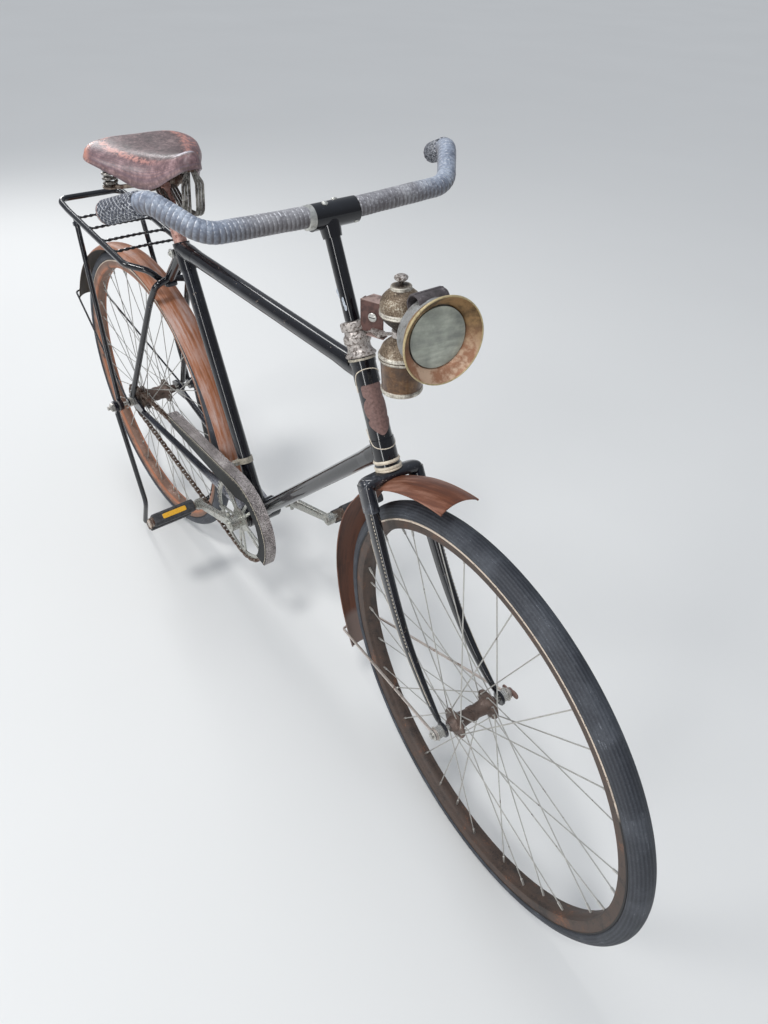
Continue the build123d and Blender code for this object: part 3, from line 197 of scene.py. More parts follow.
def rounded_path(points: Table, bends: Sequence[float], step: float = 4.0) -> Array:
    """Lines through the points with each corner replaced by an arc of its own radius.

    Args:
        points: Corner points, ends included.
        bends: Radius at each inner corner.
        step: Distance between samples.

    Returns:
        Array of points along the path.
    """
    pts = [np.asarray(p, float) for p in points]
    runs, last = [], pts[0]
    for before, corner, after, bend in zip(pts, pts[1:], pts[2:], bends):
        back, ahead = unit(before - corner), unit(after - corner)
        half = math.acos(float(np.clip(back @ ahead, -1.0, 1.0))) / 2
        start, end = corner + back * bend / math.tan(half), corner + ahead * bend / math.tan(half)
        middle = corner + unit(back + ahead) * bend / math.sin(half)
        count = max(2, int(np.linalg.norm(start - last) / step))
        runs.append(last + (start - last) * np.linspace(0, 1, count, endpoint=False)[:, None])
        sweep = math.pi - 2 * half
        a = np.linspace(0, 1, max(4, int(sweep * bend / step) + 3))[:, None]
        e1, e2 = start - middle, end - middle
        runs.append(middle + (np.sin((1 - a) * sweep) * e1 + np.sin(a * sweep) * e2) / math.sin(sweep))
        last = end
    count = max(2, int(np.linalg.norm(pts[-1] - last) / step))
    runs.append(last + (pts[-1] - last) * np.linspace(0, 1, count + 1)[1:, None])
    return np.vstack(runs)


@dataclass
class Surface:
    """A grid of points: rows along it and columns round it, with what closes it."""

    points: Array
    wrap_rows: bool = False
    wrap_columns: bool = True
    caps: bool = True

    def faces(self, base: int) -> tuple[Array, Array, Array]:
        """Quads between neighbouring grid points, then a fan to a middle point on each open end.

        Args:
            base: Number of vertices already in the mesh.

        Returns:
            Vertices, faces of four corners (a triangle repeats its last one) and the corners' (u, v).
        """
        rows, cols = self.points.shape[:2]
        verts = self.points.reshape(-1, 3)
        i = np.arange(rows if self.wrap_rows else rows - 1)[:, None]
        j = np.arange(cols if self.wrap_columns else cols - 1)[None, :]
        steps = ((0, 0), (0, 1), (1, 1), (1, 0))
        quads = np.stack([((i + a) % rows) * cols + (j + b) % cols for a, b in steps], -1).reshape(-1, 4)
        uvs = np.stack([np.stack(np.broadcast_arrays((i + a) / rows, (j + b) / cols), -1) for a, b in steps], 2)
        uvs = uvs.reshape(-1, 4, 2)
        if self.caps and self.wrap_columns and not self.wrap_rows:
            j = np.arange(cols)
            for row, turn in ((0, 1), (rows - 1, 0)):
                middle = np.full(cols, len(verts))
                verts = np.vstack([verts, self.points[row].mean(0)])
                a, b = row * cols + (j + turn) % cols, row * cols + (j + 1 - turn) % cols
                quads = np.vstack([quads, np.stack([a, b, middle, middle], -1)])
                flat = np.full((cols, 4, 2), row / rows)
                flat[:, :, 1] = j[:, None] / cols
                uvs = np.vstack([uvs, flat])
        if self.wrap_columns and (self.caps or self.wrap_rows):
            centre = verts.mean(0)
            p = verts[quads] - centre
            volume = np.einsum("ij,ij->i", p[:, 0], np.cross(p[:, 1], p[:, 2]))
            volume += np.einsum("ij,ij->i", p[:, 0], np.cross(p[:, 2], p[:, 3]))
            if volume.sum() < 0:
                quads, uvs = quads[:, ::-1], uvs[:, ::-1]
        return verts, quads + base, uvs


def tube(
    path: Array, radius: Array | float, sides: int = 16, up: Array = UP, tall: float = 1.0, closed: bool = False
) -> Surface:
    """Round surface along a path: each ring is a circle of the radius across the path's direction.

    Args:
        path: Points along the middle.
        radius: One number, one for each point, or one for each point of each ring.
        sides: Points round a ring.
        up: Direction that the first point of each ring leans towards.
        tall: Share by which the ring is stretched along up.
        closed: Whether the path runs back to its start.

    Returns:
        The surface.
    """
    path = np.asarray(path, float)
    if closed:
        along = unit(np.roll(path, -1, 0) - np.roll(path, 1, 0))
    else:
        along = unit(np.gradient(path, axis=0))
    side = unit(np.cross(np.broadcast_to(up, path.shape), along))
    over = np.cross(along, side)
    a = circle(sides)[None, :, None]
    r = np.asarray(radius, float)
    r = r.reshape(-1, 1, 1) if r.ndim < 2 else r[:, :, None]
    points = path[:, None, :] + r * (np.cos(a) * over[:, None, :] * tall + np.sin(a) * side[:, None, :])
    return Surface(points, wrap_rows=closed)


def straight(a: Sequence[float], b: Sequence[float], radius: float, sides: int = 16) -> Surface:
    """Round bar between two points.

    Args:
        a: First end.
        b: Second end.
        radius: Radius of the bar.
        sides: Points round it.

    Returns:
        The bar.
    """
    a, b = np.asarray(a, float), np.asarray(b, float)
    way = unit(b - a)
    up = LEFT if abs(way[1]) < 0.9 else UP
    return tube(np.stack([a, b]), radius, sides, up)


def turned(
    origin: Array, axis: Array, profile: Table, sides: int = 48, ring: bool = False,
    ripple: Callable[[Array, Array], Array] | None = None,
) -> Surface:
    """Surface of revolution: each (height, radius) pair of the profile becomes a circle about the axis.

    Args:
        origin: Point on the axis at height 0.
        axis: Direction of the axis.
        profile: Pairs of height and radius.
        sides: Points round the axis.
        ring: Whether the profile is a closed loop.
        ripple: Adds to the radius from (height, angle), for teeth or flutes.

    Returns:
        The surface.
    """
    axis = unit(np.asarray(axis, float))
    other = LEFT if abs(axis[1]) < 0.9 else UP
    e1 = unit(np.cross(other, axis))
    e2 = np.cross(axis, e1)
    p = np.asarray(profile, float)
    a = circle(sides)[None, :]
    r = p[:, 1:2] + (ripple(p[:, 0:1], a) if ripple else 0.0 * a)
    around = np.cos(a)[..., None] * e1 + np.sin(a)[..., None] * e2
    points = np.asarray(origin, float) + p[:, 0, None, None] * axis + r[..., None] * around
    return Surface(points, wrap_rows=ring)


def bead(
    centre: Sequence[float], size: Sequence[float], rows: int = 10, sides: int = 16, power: float = 2.0,
) -> Surface:
    """Rounded block: a superellipsoid, whose half sizes shrink along z as the power's curve does.

    Args:
        centre: Middle of the block.
        size: Half sizes along x, y and z.
        rows: Rings from bottom to top.
        sides: Points round a ring.
        power: 2 for an ellipsoid, more for a squarer block.

    Returns:
        The surface.
    """
    lat = np.linspace(-0.497, 0.497, rows)[:, None] * np.pi
    lon = circle(sides)[None, :]
    c, s, cross, along = (swelled(v, 2.0 / power) for v in (np.cos(lat), np.sin(lat), np.cos(lon), np.sin(lon)))
    x, y = c * cross, c * along
    z = np.broadcast_to(s, x.shape)
    return Surface(np.stack([x, y, z], -1) * np.asarray(size, float) + np.asarray(centre, float))


def prism(outline: Array, low: Array, rise: Array, round_over: float = 0.0) -> Surface:
    """Plate from a flat outline: the outline at both faces, drawn in a little there where it is rounded over.

    Args:
        outline: Points of the outline in space, in order.
        low: Offset of the lower face.
        rise: Vector from the lower to the upper face.
        round_over: How far the outline is drawn in at the two faces.

    Returns:
        The surface.
    """
    outline = np.asarray(outline, float) + low
    middle = outline.mean(0)
    inward = unit(middle - outline) * round_over
    share = 0.25 if round_over else 0.0
    rows = [outline + inward, outline + rise * share, outline + rise * (1 - share), outline + inward + rise]
    return Surface(np.stack(rows if round_over else [outline, outline + rise]))


def hexagon(centre: Sequence[float], axis: Array, radius: float, height: float) -> Surface:
    """Nut: a six-sided prism with its corners eased at both faces."""
    profile = [(0, radius * 0.88), (height * 0.15, radius), (height * 0.85, radius), (height, radius * 0.88)]
    return turned(centre, axis, profile, 6)


def srgb(red: float, green: float, blue: float) -> Colour:
    """Linear colour from display values of 0 to 255."""
    c = np.array([red, green, blue]) / 255.0
    return tuple(float(v) for v in np.where(c <= 0.04045, c / 12.92, ((c + 0.055) / 1.055) ** 2.4))


def math_node(operation: str, swapped: bool = False) -> Callable[..., "Wire"]:
    """Method of Wire that adds one Math node, with its inputs swapped where the wire stands on the right.

    Args:
        operation: What the node works out.
        swapped: Whether the wire is its second input.

    Returns:
        The method.
    """

    def apply(self: "Wire", other: object = 0.0) -> "Wire":
        """One Math node of two inputs."""
        inputs = {0: other, 1: self} if swapped else {0: self, 1: other}
        return self.graph.wire("ShaderNodeMath", {"operation": operation}, inputs)

    return apply


class Wire:
    """An output in a shader, on which sums can be written."""

    __add__ = __radd__ = math_node("ADD")
    __sub__ = math_node("SUBTRACT")
    __rsub__ = math_node("SUBTRACT", swapped=True)
    __mul__ = __rmul__ = math_node("MULTIPLY")
    __pow__ = math_node("POWER")
    larger = math_node("MAXIMUM")
    # What is left after the whole number, the value without its sign, and its sine
    fraction, size, sine = math_node("FRACT"), math_node("ABSOLUTE"), math_node("SINE")
    # Angle of the direction whose upward part is the wire and whose forward part is the other one
    heading = math_node("ARCTAN2")

    def __init__(self, graph: "Graph", socket: bpy.types.NodeSocket) -> None:
        """Keeps the graph that new Math nodes go to."""
        self.graph = graph
        self.socket = socket

    def between(self, low: float, high: float) -> "Wire":
        """Rises smoothly from 0 at low to 1 at high.

        Args:
            low: Value that gives 0.
            high: Value that gives 1.

        Returns:
            The share.
        """
        inputs = {"Value": self, "From Min": low, "From Max": high, "To Min": 0.0, "To Max": 1.0}
        if low > high:
            inputs.update({"From Min": high, "From Max": low, "To Min": 1.0, "To Max": 0.0})
        return self.graph.wire("ShaderNodeMapRange", {"interpolation_type": "SMOOTHSTEP"}, inputs)


class Graph:
    """Node tree of a material or of the world, with the few calls that they need."""

    def __init__(self, owner: Material | bpy.types.World, place: str = "Object") -> None:
        """Empties the owner's tree and adds the coordinates of that name.

        Args:
            owner: The material or world.
            place: Output of the Texture Coordinate node that patterns read.
        """
        self.owner = owner
        owner.use_nodes = True
        self.tree = owner.node_tree
        self.tree.nodes.clear()
        self.place = self.wire("ShaderNodeTexCoord", {}, {}, place)

    def node(self, kind: str, settings: dict, inputs: dict) -> bpy.types.Node:
        """Adds a node, sets it up, then gives its sockets their values or links.

        Args:
            kind: Blender's type name.
            settings: Properties, and "stops" for a ramp.
            inputs: Value or Wire for each socket, by name or number.

        Returns:
            The node.
        """
        node = self.tree.nodes.new(kind)
        for key, value in settings.items():
            if key == "stops":
                ramp = node.color_ramp.elements
                while len(ramp) < len(value):
                    ramp.new(1.0)
                for element, (position, colour) in zip(ramp, value):
                    element.position = position
                    element.color = (*colour, 1.0)
            else:
                setattr(node, key, value)
        for key, value in inputs.items():
            if isinstance(value, Wire):
                self.tree.links.new(value.socket, node.inputs[key])
            else:
                node.inputs[key].default_value = value
        return node

    def wire(self, kind: str, settings: dict, inputs: dict, output: int | str = 0) -> Wire:
        """One output of a new node."""
        return Wire(self, self.node(kind, settings, inputs).outputs[output])

    def noise(
        self, scale: float, detail: float = 4.0, rough: float = 0.55, stretch: Colour | None = None,
        place: Wire | None = None,
    ) -> Wire:
        """Cloudy noise of 0 to 1.

        Args:
            scale: Lumps in a metre.
            detail: Number of finer layers.
            rough: Share of the finer layers.
            stretch: Scale of each axis, where it isn't even.
            place: Coordinates, where they aren't the object's own.

        Returns:
            The value.
        """
        place = place or self.place
        if stretch:
            place = self.wire("ShaderNodeMapping", {}, {"Vector": place, "Scale": stretch})
        inputs = {"Vector": place, "Scale": scale, "Detail": detail, "Roughness": rough}
        return self.wire("ShaderNodeTexNoise", {}, inputs)

    def cells(self, scale: float) -> Wire:
        """Distance to the nearest point of a scatter, 0 at each point."""
        return self.wire("ShaderNodeTexVoronoi", {}, {"Vector": self.place, "Scale": scale}, "Distance")

    def axes(self, vector: Wire | None = None) -> tuple[Wire, Wire, Wire]:
        """The three parts of a vector, or of the place on the surface."""
        node = self.node("ShaderNodeSeparateXYZ", {}, {0: vector or self.place})
        return tuple(Wire(self, out) for out in node.outputs)

    def joined(self, x: Wire, y: Wire, z: Wire) -> Wire:
        """Vector of three values."""
        return self.wire("ShaderNodeCombineXYZ", {}, {0: x, 1: y, 2: z})

    def facing(self) -> tuple[Wire, Wire, Wire]:
        """The three parts of the surface's direction."""
        return self.axes(self.wire("ShaderNodeNewGeometry", {}, {}, "Normal"))

    def uv(self) -> tuple[Wire, Wire]:
        """The piece's own (u, v): along it and round it."""
        u, v, _ = self.axes(self.wire("ShaderNodeUVMap", {"uv_map": "UVMap"}, {}))
        return u, v

    def mix(self, first: object, second: object, share: object) -> Wire:
        """Colour that goes from the first to the second as the share goes from 0 to 1."""
        first, second = ((*c, 1.0) if isinstance(c, tuple) else c for c in (first, second))
        return self.wire("ShaderNodeMix", {"data_type": "RGBA"}, {0: share, 6: first, 7: second}, 2)

    def ramp(self, value: Wire, *stops: tuple[float, Colour]) -> Wire:
        """Colour looked up in a list of stops."""
        return self.wire("ShaderNodeValToRGB", {"stops": stops}, {0: value})

    def bump(self, height: Wire, depth: float, strength: float = 1.0) -> Wire:
        """Normal of a surface raised by the height times the depth in metres."""
        return self.wire("ShaderNodeBump", {}, {"Height": height, "Distance": depth, "Strength": strength})

    def surface(self, colour: Wire | Colour, **inputs: object) -> Material:
        """Principled shader of a colour, with other inputs whose names have underscores for spaces.

        Args:
            colour: Base colour.
            **inputs: Socket values, such as roughness or coat_weight.

        Returns:
            The finished material.
        """
        named = {key.replace("_", " ").title().replace("Ior", "IOR"): value for key, value in inputs.items()}
        named["Base Color"] = (*colour, 1.0) if isinstance(colour, tuple) else colour
        self.node("ShaderNodeOutputMaterial", {}, {0: self.wire("ShaderNodeBsdfPrincipled", {}, named)})
        return self.owner


class Finish:
    """A named finish, whose material is made once."""

    made: dict[str, Material] = {}
    name: str

    def material(self) -> Material:
        """The finish's material.

        Returns:
            The material, which the first call makes.
        """
        if self.name not in Finish.made:
            Finish.made[self.name] = self.shade(Graph(bpy.data.materials.new(self.name)))
        return Finish.made[self.name]

    def shade(self, g: Graph) -> Material:
        """Builds the material.

        Args:
            g: Graph of the new material.

        Returns:
            The material.
        """
        raise NotImplementedError


@dataclass(frozen=True)
class Enamel(Finish):
    """Old stove enamel: near black with a blue cast, dust in soft clouds, scratches and chips down to bare metal."""

    name: str = "black_enamel"
    colour: Colour = srgb(12, 13, 19)
    dust: Colour = srgb(84, 88, 102)
    under: Colour = srgb(158, 142, 128)
    dusty: float = 0.1
    chipped: float = 0.74
    gloss: float = 0.2
    # Packed x where the paint starts to be rubbed down to grey metal, and where it is all gone
    rubbed: tuple[float, float] | None = None

    def shade(self, g: Graph) -> Material:
        """Dust by a coarse cloud, chips where two fine clouds agree, scratches as thin stretched noise."""
        cloud = g.noise(14, 6, 0.65)
        grit = g.noise(460, 3, 0.6)
        dust = (cloud.between(0.48, 0.72) * self.dusty + grit.between(0.6, 0.8) * 0.3 * cloud)
        chips = (g.noise(95, 5, 0.6) * 0.5 + grit * 0.5).between(self.chipped - 0.1, self.chipped - 0.08)
        scratch = g.noise(30, 2, 0.5, (1.0, 14.0, 14.0)).between(0.7, 0.74) * 0.3
        colour = g.mix(g.mix(self.colour, self.dust, dust.larger(scratch)), self.under, chips)
        rough = self.gloss + dust * 0.4 + chips * 0.4 + cloud * 0.06
        if self.rubbed:
            x, _, _ = g.axes()
            bare = (x + (cloud - 0.5) * 0.1).between(*self.rubbed)
            grey = g.mix(srgb(96, 100, 112), srgb(186, 186, 192), grit.between(0.36, 0.62))
            colour = g.mix(colour, grey, bare)
            rough = rough + bare * 0.2
        height = grit * 0.2 - chips * 1.0 + cloud * 0.3
        return g.surface(colour, roughness=rough, normal=g.bump(height, 0.00018, 0.5), coat_weight=1.0,
                         coat_roughness=0.05, specular_ior_level=0.2)


@dataclass(frozen=True)
class Plating(Finish):
    """Tarnished plate or steel: a metal with brown rust in clouds and specks, pitted where it has rusted."""

    name: str
    metal: Colour
    rust: Colour = srgb(98, 62, 42)
    pale: Colour = srgb(205, 195, 182)
    rusted: float = 0.5
    rough: float = 0.38
    scale: float = 60.0
    pits: float = 0.00035

    def shade(self, g: Graph) -> Material:
        """Rust where a cloud and its specks pass the threshold, pale bloom at its edge, the rest metallic."""
        cloud = g.noise(self.scale, 6, 0.68)
        specks = g.noise(self.scale * 9, 4, 0.65)
        value = cloud * 0.6 + specks * 0.4
        limit = 0.66 - 0.3 * self.rusted
        rust = value.between(limit, limit + 0.07)
        bloom = value.between(limit - 0.09, limit) * (1.0 - rust) * specks.between(0.45, 0.6)
        tone = g.mix(self.metal, self.pale, bloom * 0.6)
        deep = g.mix(self.rust, tuple(0.45 * c for c in self.rust), specks.between(0.35, 0.7))
        colour = g.mix(tone, deep, rust)
        return g.surface(colour, metallic=0.82 - rust * 0.75 - bloom * 0.3,
                         roughness=self.rough + rust * 0.42 + bloom * 0.2,
                         normal=g.bump(specks * rust + cloud * 0.3, self.pits, 0.9))


@dataclass(frozen=True)
class GuardPaint(Finish):
    """Rust-brown paint of a mudguard, streaked along the strip, dark and dull on the inside."""

    name: str
    centre: tuple[float, float]
    crest: float
    warm: Colour
    deep: Colour
    faded: Colour
    inside: Colour = srgb(58, 46, 34)
    tip: Colour = srgb(126, 108, 100)
    tipped: float = 0.0

    def shade(self, g: Graph) -> Material:
        """Streaks from noise on (angle about the wheel's axle, y), and the side that faces the wheel darkened."""
        x, y, z = g.axes()
        dx, dz = x - self.centre[0], z - self.centre[1]
        flat = g.joined(dz.heading(dx) * 0.38, y, (dx * dx + dz * dz) ** 0.5 * 0.2)
        grain = g.noise(70, 6, 0.65, (0.16, 2.6, 1.0), flat)
        cloud = g.noise(9, 5, 0.65, (0.9, 2.2, 1.0), flat)
        fine = g.noise(700, 3, 0.6)
        colour = g.ramp(grain * 0.55 + cloud * 0.45, (0.32, self.deep), (0.47, self.warm), (0.62, self.faded))
        colour = g.mix(colour, self.deep, fine.between(0.56, 0.7) * 0.5)
        colour = g.mix(colour, self.faded, cloud.between(0.56, 0.7) * 0.6)
        nx, _, nz = g.facing()
        inward = (nx * dx + nz * dz).between(0.02, -0.06)
        darkest = tuple(0.45 * c for c in self.inside)
        within = g.mix(darkest, self.inside, (grain * 0.6 + cloud * 0.4).between(0.38, 0.56))
        within = g.mix(within, self.tip, (z + cloud * 0.03).between(0.262, 0.24) * self.tipped)
        colour = g.mix(colour, within, inward)
        return g.surface(colour, roughness=0.42 + grain * 0.25 + inward * 0.2,
                         normal=g.bump(grain * 0.6 + fine * 0.5, 0.0003, 0.6), coat_weight=0.12, coat_roughness=0.3)


@dataclass(frozen=True)
class Blotched(Finish):
    """Painted steel gone brown in patches, for rims and hubs."""

    name: str
    first: Colour
    second: Colour
    third: Colour
    scale: float = 28.0
    metallic: float = 0.0
    rough: float = 0.5
    # Colour outside a distance from the middle plane, that distance and the plane's own y, packed
    edge: Colour | None = None
    edge_from: float = 0.0105
    middle_y: float = -0.0153

    def shade(self, g: Graph) -> Material:
        """Three colours by a coarse cloud with a fine one on top, and another colour towards the two sides."""
        cloud, fine = g.noise(self.scale, 7, 0.7), g.noise(self.scale * 16, 4, 0.6)
        value = cloud * 0.75 + fine * 0.25
        colour = g.ramp(value, (0.36, self.first), (0.48, self.second), (0.56, self.second), (0.66, self.third))
        if self.edge:
            _, y, _ = g.axes()
            off = (y - self.middle_y).size()
            side = off.between(self.edge_from - 0.001, self.edge_from) * off.between(0.0153, 0.0145)
            colour = g.mix(colour, self.edge, side * cloud.between(0.32, 0.52))
        return g.surface(colour, roughness=self.rough + cloud * 0.2, metallic=self.metallic,
                         normal=g.bump(fine + cloud, 0.00035, 0.7))


@dataclass(frozen=True)
class Rubber(Finish):
    """Perished tyre rubber: grey bloom, pale scuffs on the tread and fine cross ribs round the wheel."""

    name: str = "tyre_rubber"
    colour: Colour = srgb(37, 40, 47)
    bloom: Colour = srgb(88, 92, 99)
    # Number of cross ribs
    ribs: float = 620.0

    def shade(self, g: Graph) -> Material:
        """u runs round the wheel and v round the section, so the cross ribs are a wave of u inside the tread's v."""
        cloud, fine = g.noise(17, 5, 0.65), g.noise(520, 3, 0.6)
        colour = g.mix(self.colour, self.bloom, cloud.between(0.4, 0.72) * 0.55 + fine.between(0.5, 0.75) * 0.25)
        u, v = g.uv()
        tread = ((v - 0.5) * (v - 0.5)).between(0.16, 0.12)
        ribs = ((u * self.ribs * 2 * math.pi).sine() * 0.5 + 0.5) * (1.0 - tread)
        colour = g.mix(colour, tuple(0.55 * c for c in self.colour), ribs.between(0.7, 1.0) * 0.5)
        rings = ((v * 150.0).sine() * 0.5 + 0.5) * tread
        colour = g.mix(colour, self.bloom, rings * fine * 0.5)
        turn = u * (2 * math.pi)
        place = g.joined(turn.sine() * 14.0, (turn + math.pi / 2).sine() * 14.0, v * 90.0)
        scuff = g.noise(1.0, 6.0, 0.7, place=place)
        pale = (scuff.between(0.56, 0.7) * tread + scuff.between(0.66, 0.74) * 0.4) * cloud.between(0.42, 0.6)
        colour = g.mix(colour, srgb(158, 164, 172), pale * fine.between(0.4, 0.6) * 0.7)
        height = fine * 0.5 + ribs * 1.2 + rings * 0.8
        return g.surface(colour, roughness=0.55 + cloud * 0.2, normal=g.bump(height, 0.0005, 0.8))


@dataclass(frozen=True)
class Leather(Finish):
    """Saddle leather: brown and stained dark on top, worn pink along the shoulder and at the back, with a painted
    highlight on the nose.
    """

    name: str = "saddle_leather"

    def shade(self, g: Graph) -> Material:
        """v runs from the lower edge to the spine, so flap, ridge and top are bands of v, broken up by noise."""
        _, v = g.uv()
        x, y, _ = g.axes()
        cloud, fine, grain = g.noise(24, 6, 0.7), g.noise(170, 5, 0.65), g.noise(900, 3, 0.6)
        band = v + (cloud - 0.5) * 0.2
        flap = g.ramp(cloud * 0.6 + fine * 0.4, (0.38, srgb(84, 62, 62)), (0.49, srgb(126, 98, 98)),
                      (0.6, srgb(172, 140, 140)))
        lines = (v * 190.0 + fine * 3.0).sine() * 0.5 + 0.5
        flap = g.mix(flap, srgb(98, 84, 98), lines * v.between(0.3, 0.2) * 0.45)
        top = g.ramp(fine * 0.5 + cloud * 0.5, (0.38, srgb(62, 48, 46)), (0.47, srgb(90, 74, 74)),
                     (0.55, srgb(118, 98, 98)), (0.64, srgb(156, 134, 130)))
        colour = g.mix(flap, top, band.between(0.3, 0.4))
        ridge = (band - 0.29).size().between(0.1, 0.03) * fine.between(0.4, 0.54) * x.between(-0.28, -0.35)
        colour = g.mix(colour, srgb(200, 142, 130), ridge * 0.85)
        rim = (x + v * 0.16 + y.size() * -0.1).between(-0.415, -0.445) * fine.between(0.34, 0.52)
        colour = g.mix(colour, srgb(214, 146, 124), rim * 0.8)
        spots = y.between(0.0, 0.03) * v.between(0.5, 0.25) * fine.between(0.52, 0.6)
        colour = g.mix(colour, srgb(204, 140, 122), spots * 0.8)
        # Painted highlight: a whitish lilac patch on the top of the nose.
        nose = x.between(-0.275, -0.245) * v.between(0.35, 0.6) * (fine * 0.4 + cloud * 0.6).between(0.3, 0.48)
        colour = g.mix(colour, srgb(208, 202, 214), nose * 0.8)
        colour = g.mix(colour, srgb(48, 42, 46), g.noise(60, 3, 0.6).between(0.66, 0.72) * 0.7)
        colour = g.mix(colour, srgb(220, 212, 214), grain.between(0.66, 0.72) * v.between(0.3, 0.6) * 0.5)
        creases = (g.cells(190.0) * 0.6 + grain * 0.4)
        return g.surface(colour, roughness=0.32 + fine * 0.24, coat_weight=0.25, coat_roughness=0.25,
                         normal=g.bump(creases + fine * 1.4 + lines * 0.3, 0.0006, 0.5))


@dataclass(frozen=True)
class Tape(Finish):
    """Shiny woven bar tape, blue-grey, with painted shade underneath and in the step at each wrap's edge, and frayed
    threads with a painted highlight along that edge.
    """

    name: str
    wraps: float

    def shade(self, g: Graph) -> Material:
        """The wrap's own phase is u times the number of wraps plus v, and the edge is where it starts again."""
        u, v = g.uv()
        cloud, fine = g.noise(26, 5, 0.65), g.noise(300, 4, 0.62)
        phase = (u * self.wraps + v + (fine - 0.5) * 0.35).fraction()
        edge = phase.between(0.3, 0.04) * fine.between(0.4, 0.56)
        tone = cloud * 0.6 + fine * 0.4
        grey = g.ramp(tone, (0.36, srgb(104, 102, 106)), (0.48, srgb(142, 141, 146)), (0.6, srgb(186, 186, 190)))
        blue = g.ramp(tone, (0.36, srgb(96, 104, 118)), (0.48, srgb(134, 144, 162)), (0.6, srgb(184, 194, 208)))
        colour = g.mix(grey, blue, (u + (cloud - 0.5) * 0.3).between(0.3, 0.62))
        # Painted shade: the underside of the bar, round v = 0.5, is darkened, and more so low in each wrap.
        under = (v - 0.5 + (fine - 0.5) * 0.12).size().between(0.42, 0.2)
        colour = g.mix(colour, srgb(70, 64, 64), under * (0.55 + phase.between(0.7, 0.1) * 0.35))
        # Painted shade: a dark line in the step at the start of each wrap.
        colour = g.mix(colour, srgb(92, 88, 94), edge * 0.5)
        # Frayed threads and a painted highlight: a near-white line along each wrap's raised edge, kept off the
        # underside.
        fray_and_highlight = phase.between(0.75, 0.95) * fine.between(0.5, 0.6) * (1.0 - under)
        colour = g.mix(colour, srgb(242, 244, 248), fray_and_highlight)
        weave = ((u * self.wraps * 60.0).sine() * (v * 330.0).sine()) * 0.5
        return g.surface(colour, roughness=0.34 + fine * 0.25,
                         normal=g.bump(weave * 0.3 + fine, 0.0005, 0.5), sheen_weight=0.2, sheen_roughness=0.4)


@dataclass(frozen=True)
class Net(Finish):
    """Grip wound with pale cord in a crossing net over dark rubber."""

    name: str = "grip_net"

    def shade(self, g: Graph) -> Material:
        """Two families of slanting lines in (u, v): the pale cord lies on both and fails where noise wears it."""
        u, v = g.uv()
        fine = g.noise(300, 4, 0.6)
        wander = (fine - 0.5) * 0.16
        phases = (u * 10.0 + v * 14.0 + wander).fraction(), (u * 10.0 - v * 14.0 - wander).fraction()
        one, two = ((phase - 0.2).size().between(0.13, 0.07) for phase in phases)
        line = one.larger(two) * fine.between(0.4, 0.54)
        colour = g.mix(g.ramp(fine, (0.35, srgb(38, 42, 50)), (0.65, srgb(96, 100, 112))), srgb(208, 210, 214), line)
        colour = g.mix(colour, srgb(196, 160, 150), u.between(0.93, 0.985) * 0.9)
        return g.surface(colour, roughness=0.62, normal=g.bump(line + fine * 0.4, 0.0009, 0.8))


@dataclass(frozen=True)
class Plain(Finish):
    """Small parts: one colour with a fine mottle."""

    name: str
    colour: Colour
    rough: float = 0.5
    metallic: float = 0.0
    mottle: float = 0.35
    scale: float = 240.0

    def shade(self, g: Graph) -> Material:
        """The colour goes towards a darker one by noise, which also roughens it."""
        fine = g.noise(self.scale, 5, 0.65)
        dark = tuple(c * (1 - self.mottle) for c in self.colour)
        colour = g.mix(dark, self.colour, fine.between(0.34, 0.6))
        return g.surface(colour, roughness=self.rough + fine * 0.16, metallic=self.metallic,
                         normal=g.bump(fine, 0.0002, 0.5))


@dataclass(frozen=True)
class BellInside(Finish):
    """Inside of the lamp's bell: ochre, copper pink and pale patches of old lacquer, the upper inside darker as
    painted shade and the lower inside paler as painted light.
    """

    name: str = "lamp_brass"

    def shade(self, g: Graph) -> Material:
        """Ochre above and copper below by height, painted shade above and painted light below, with a coarse cloud
        between them and fine dirt on top.
        """
        _, _, z = g.axes()
        cloud, fine = g.noise(42, 6, 0.68), g.noise(420, 4, 0.6)
        upper = g.mix(srgb(92, 72, 46), srgb(156, 124, 84), cloud.between(0.36, 0.6))
        lower = g.mix(srgb(166, 120, 92), srgb(214, 184, 158), cloud.between(0.44, 0.6))
        # Painted shade and light: the upper inside, facing down, takes the darker ochre and the lower inside, facing
        # up, the paler copper.
        colour = g.mix(upper, lower, (z + cloud * 0.06).between(0.985, 0.935))
        colour = g.mix(colour, srgb(106, 76, 52), fine.between(0.6, 0.76) * 0.6)
        return g.surface(colour, roughness=0.42 + cloud * 0.25, metallic=0.3,
                         normal=g.bump(fine, 0.0002, 0.5))


@dataclass(frozen=True)
class DustyGlass(Finish):
    """Front glass seen against its reflector: grey green, smeared, glossy under the dust."""

    name: str = "lamp_glass"

    def shade(self, g: Graph) -> Material:
        """Long smears from stretched noise over a soft cloud, browner towards the top."""
        _, _, z = g.axes()
        smear, cloud = g.noise(26, 5, 0.6, (1.0, 1.0, 5.0)), g.noise(34, 4, 0.6)
        colour = g.ramp(cloud * 0.6 + smear * 0.4, (0.36, srgb(126, 130, 122)), (0.5, srgb(156, 160, 148)),
                        (0.62, srgb(186, 190, 176)))
        colour = g.mix(colour, srgb(122, 118, 110), z.between(0.96, 1.0) * 0.5)
        return g.surface(colour, roughness=0.2 + smear * 0.3, coat_weight=0.7, coat_roughness=0.06,
                         metallic=0.15, normal=g.bump(smear, 0.0002, 0.3))


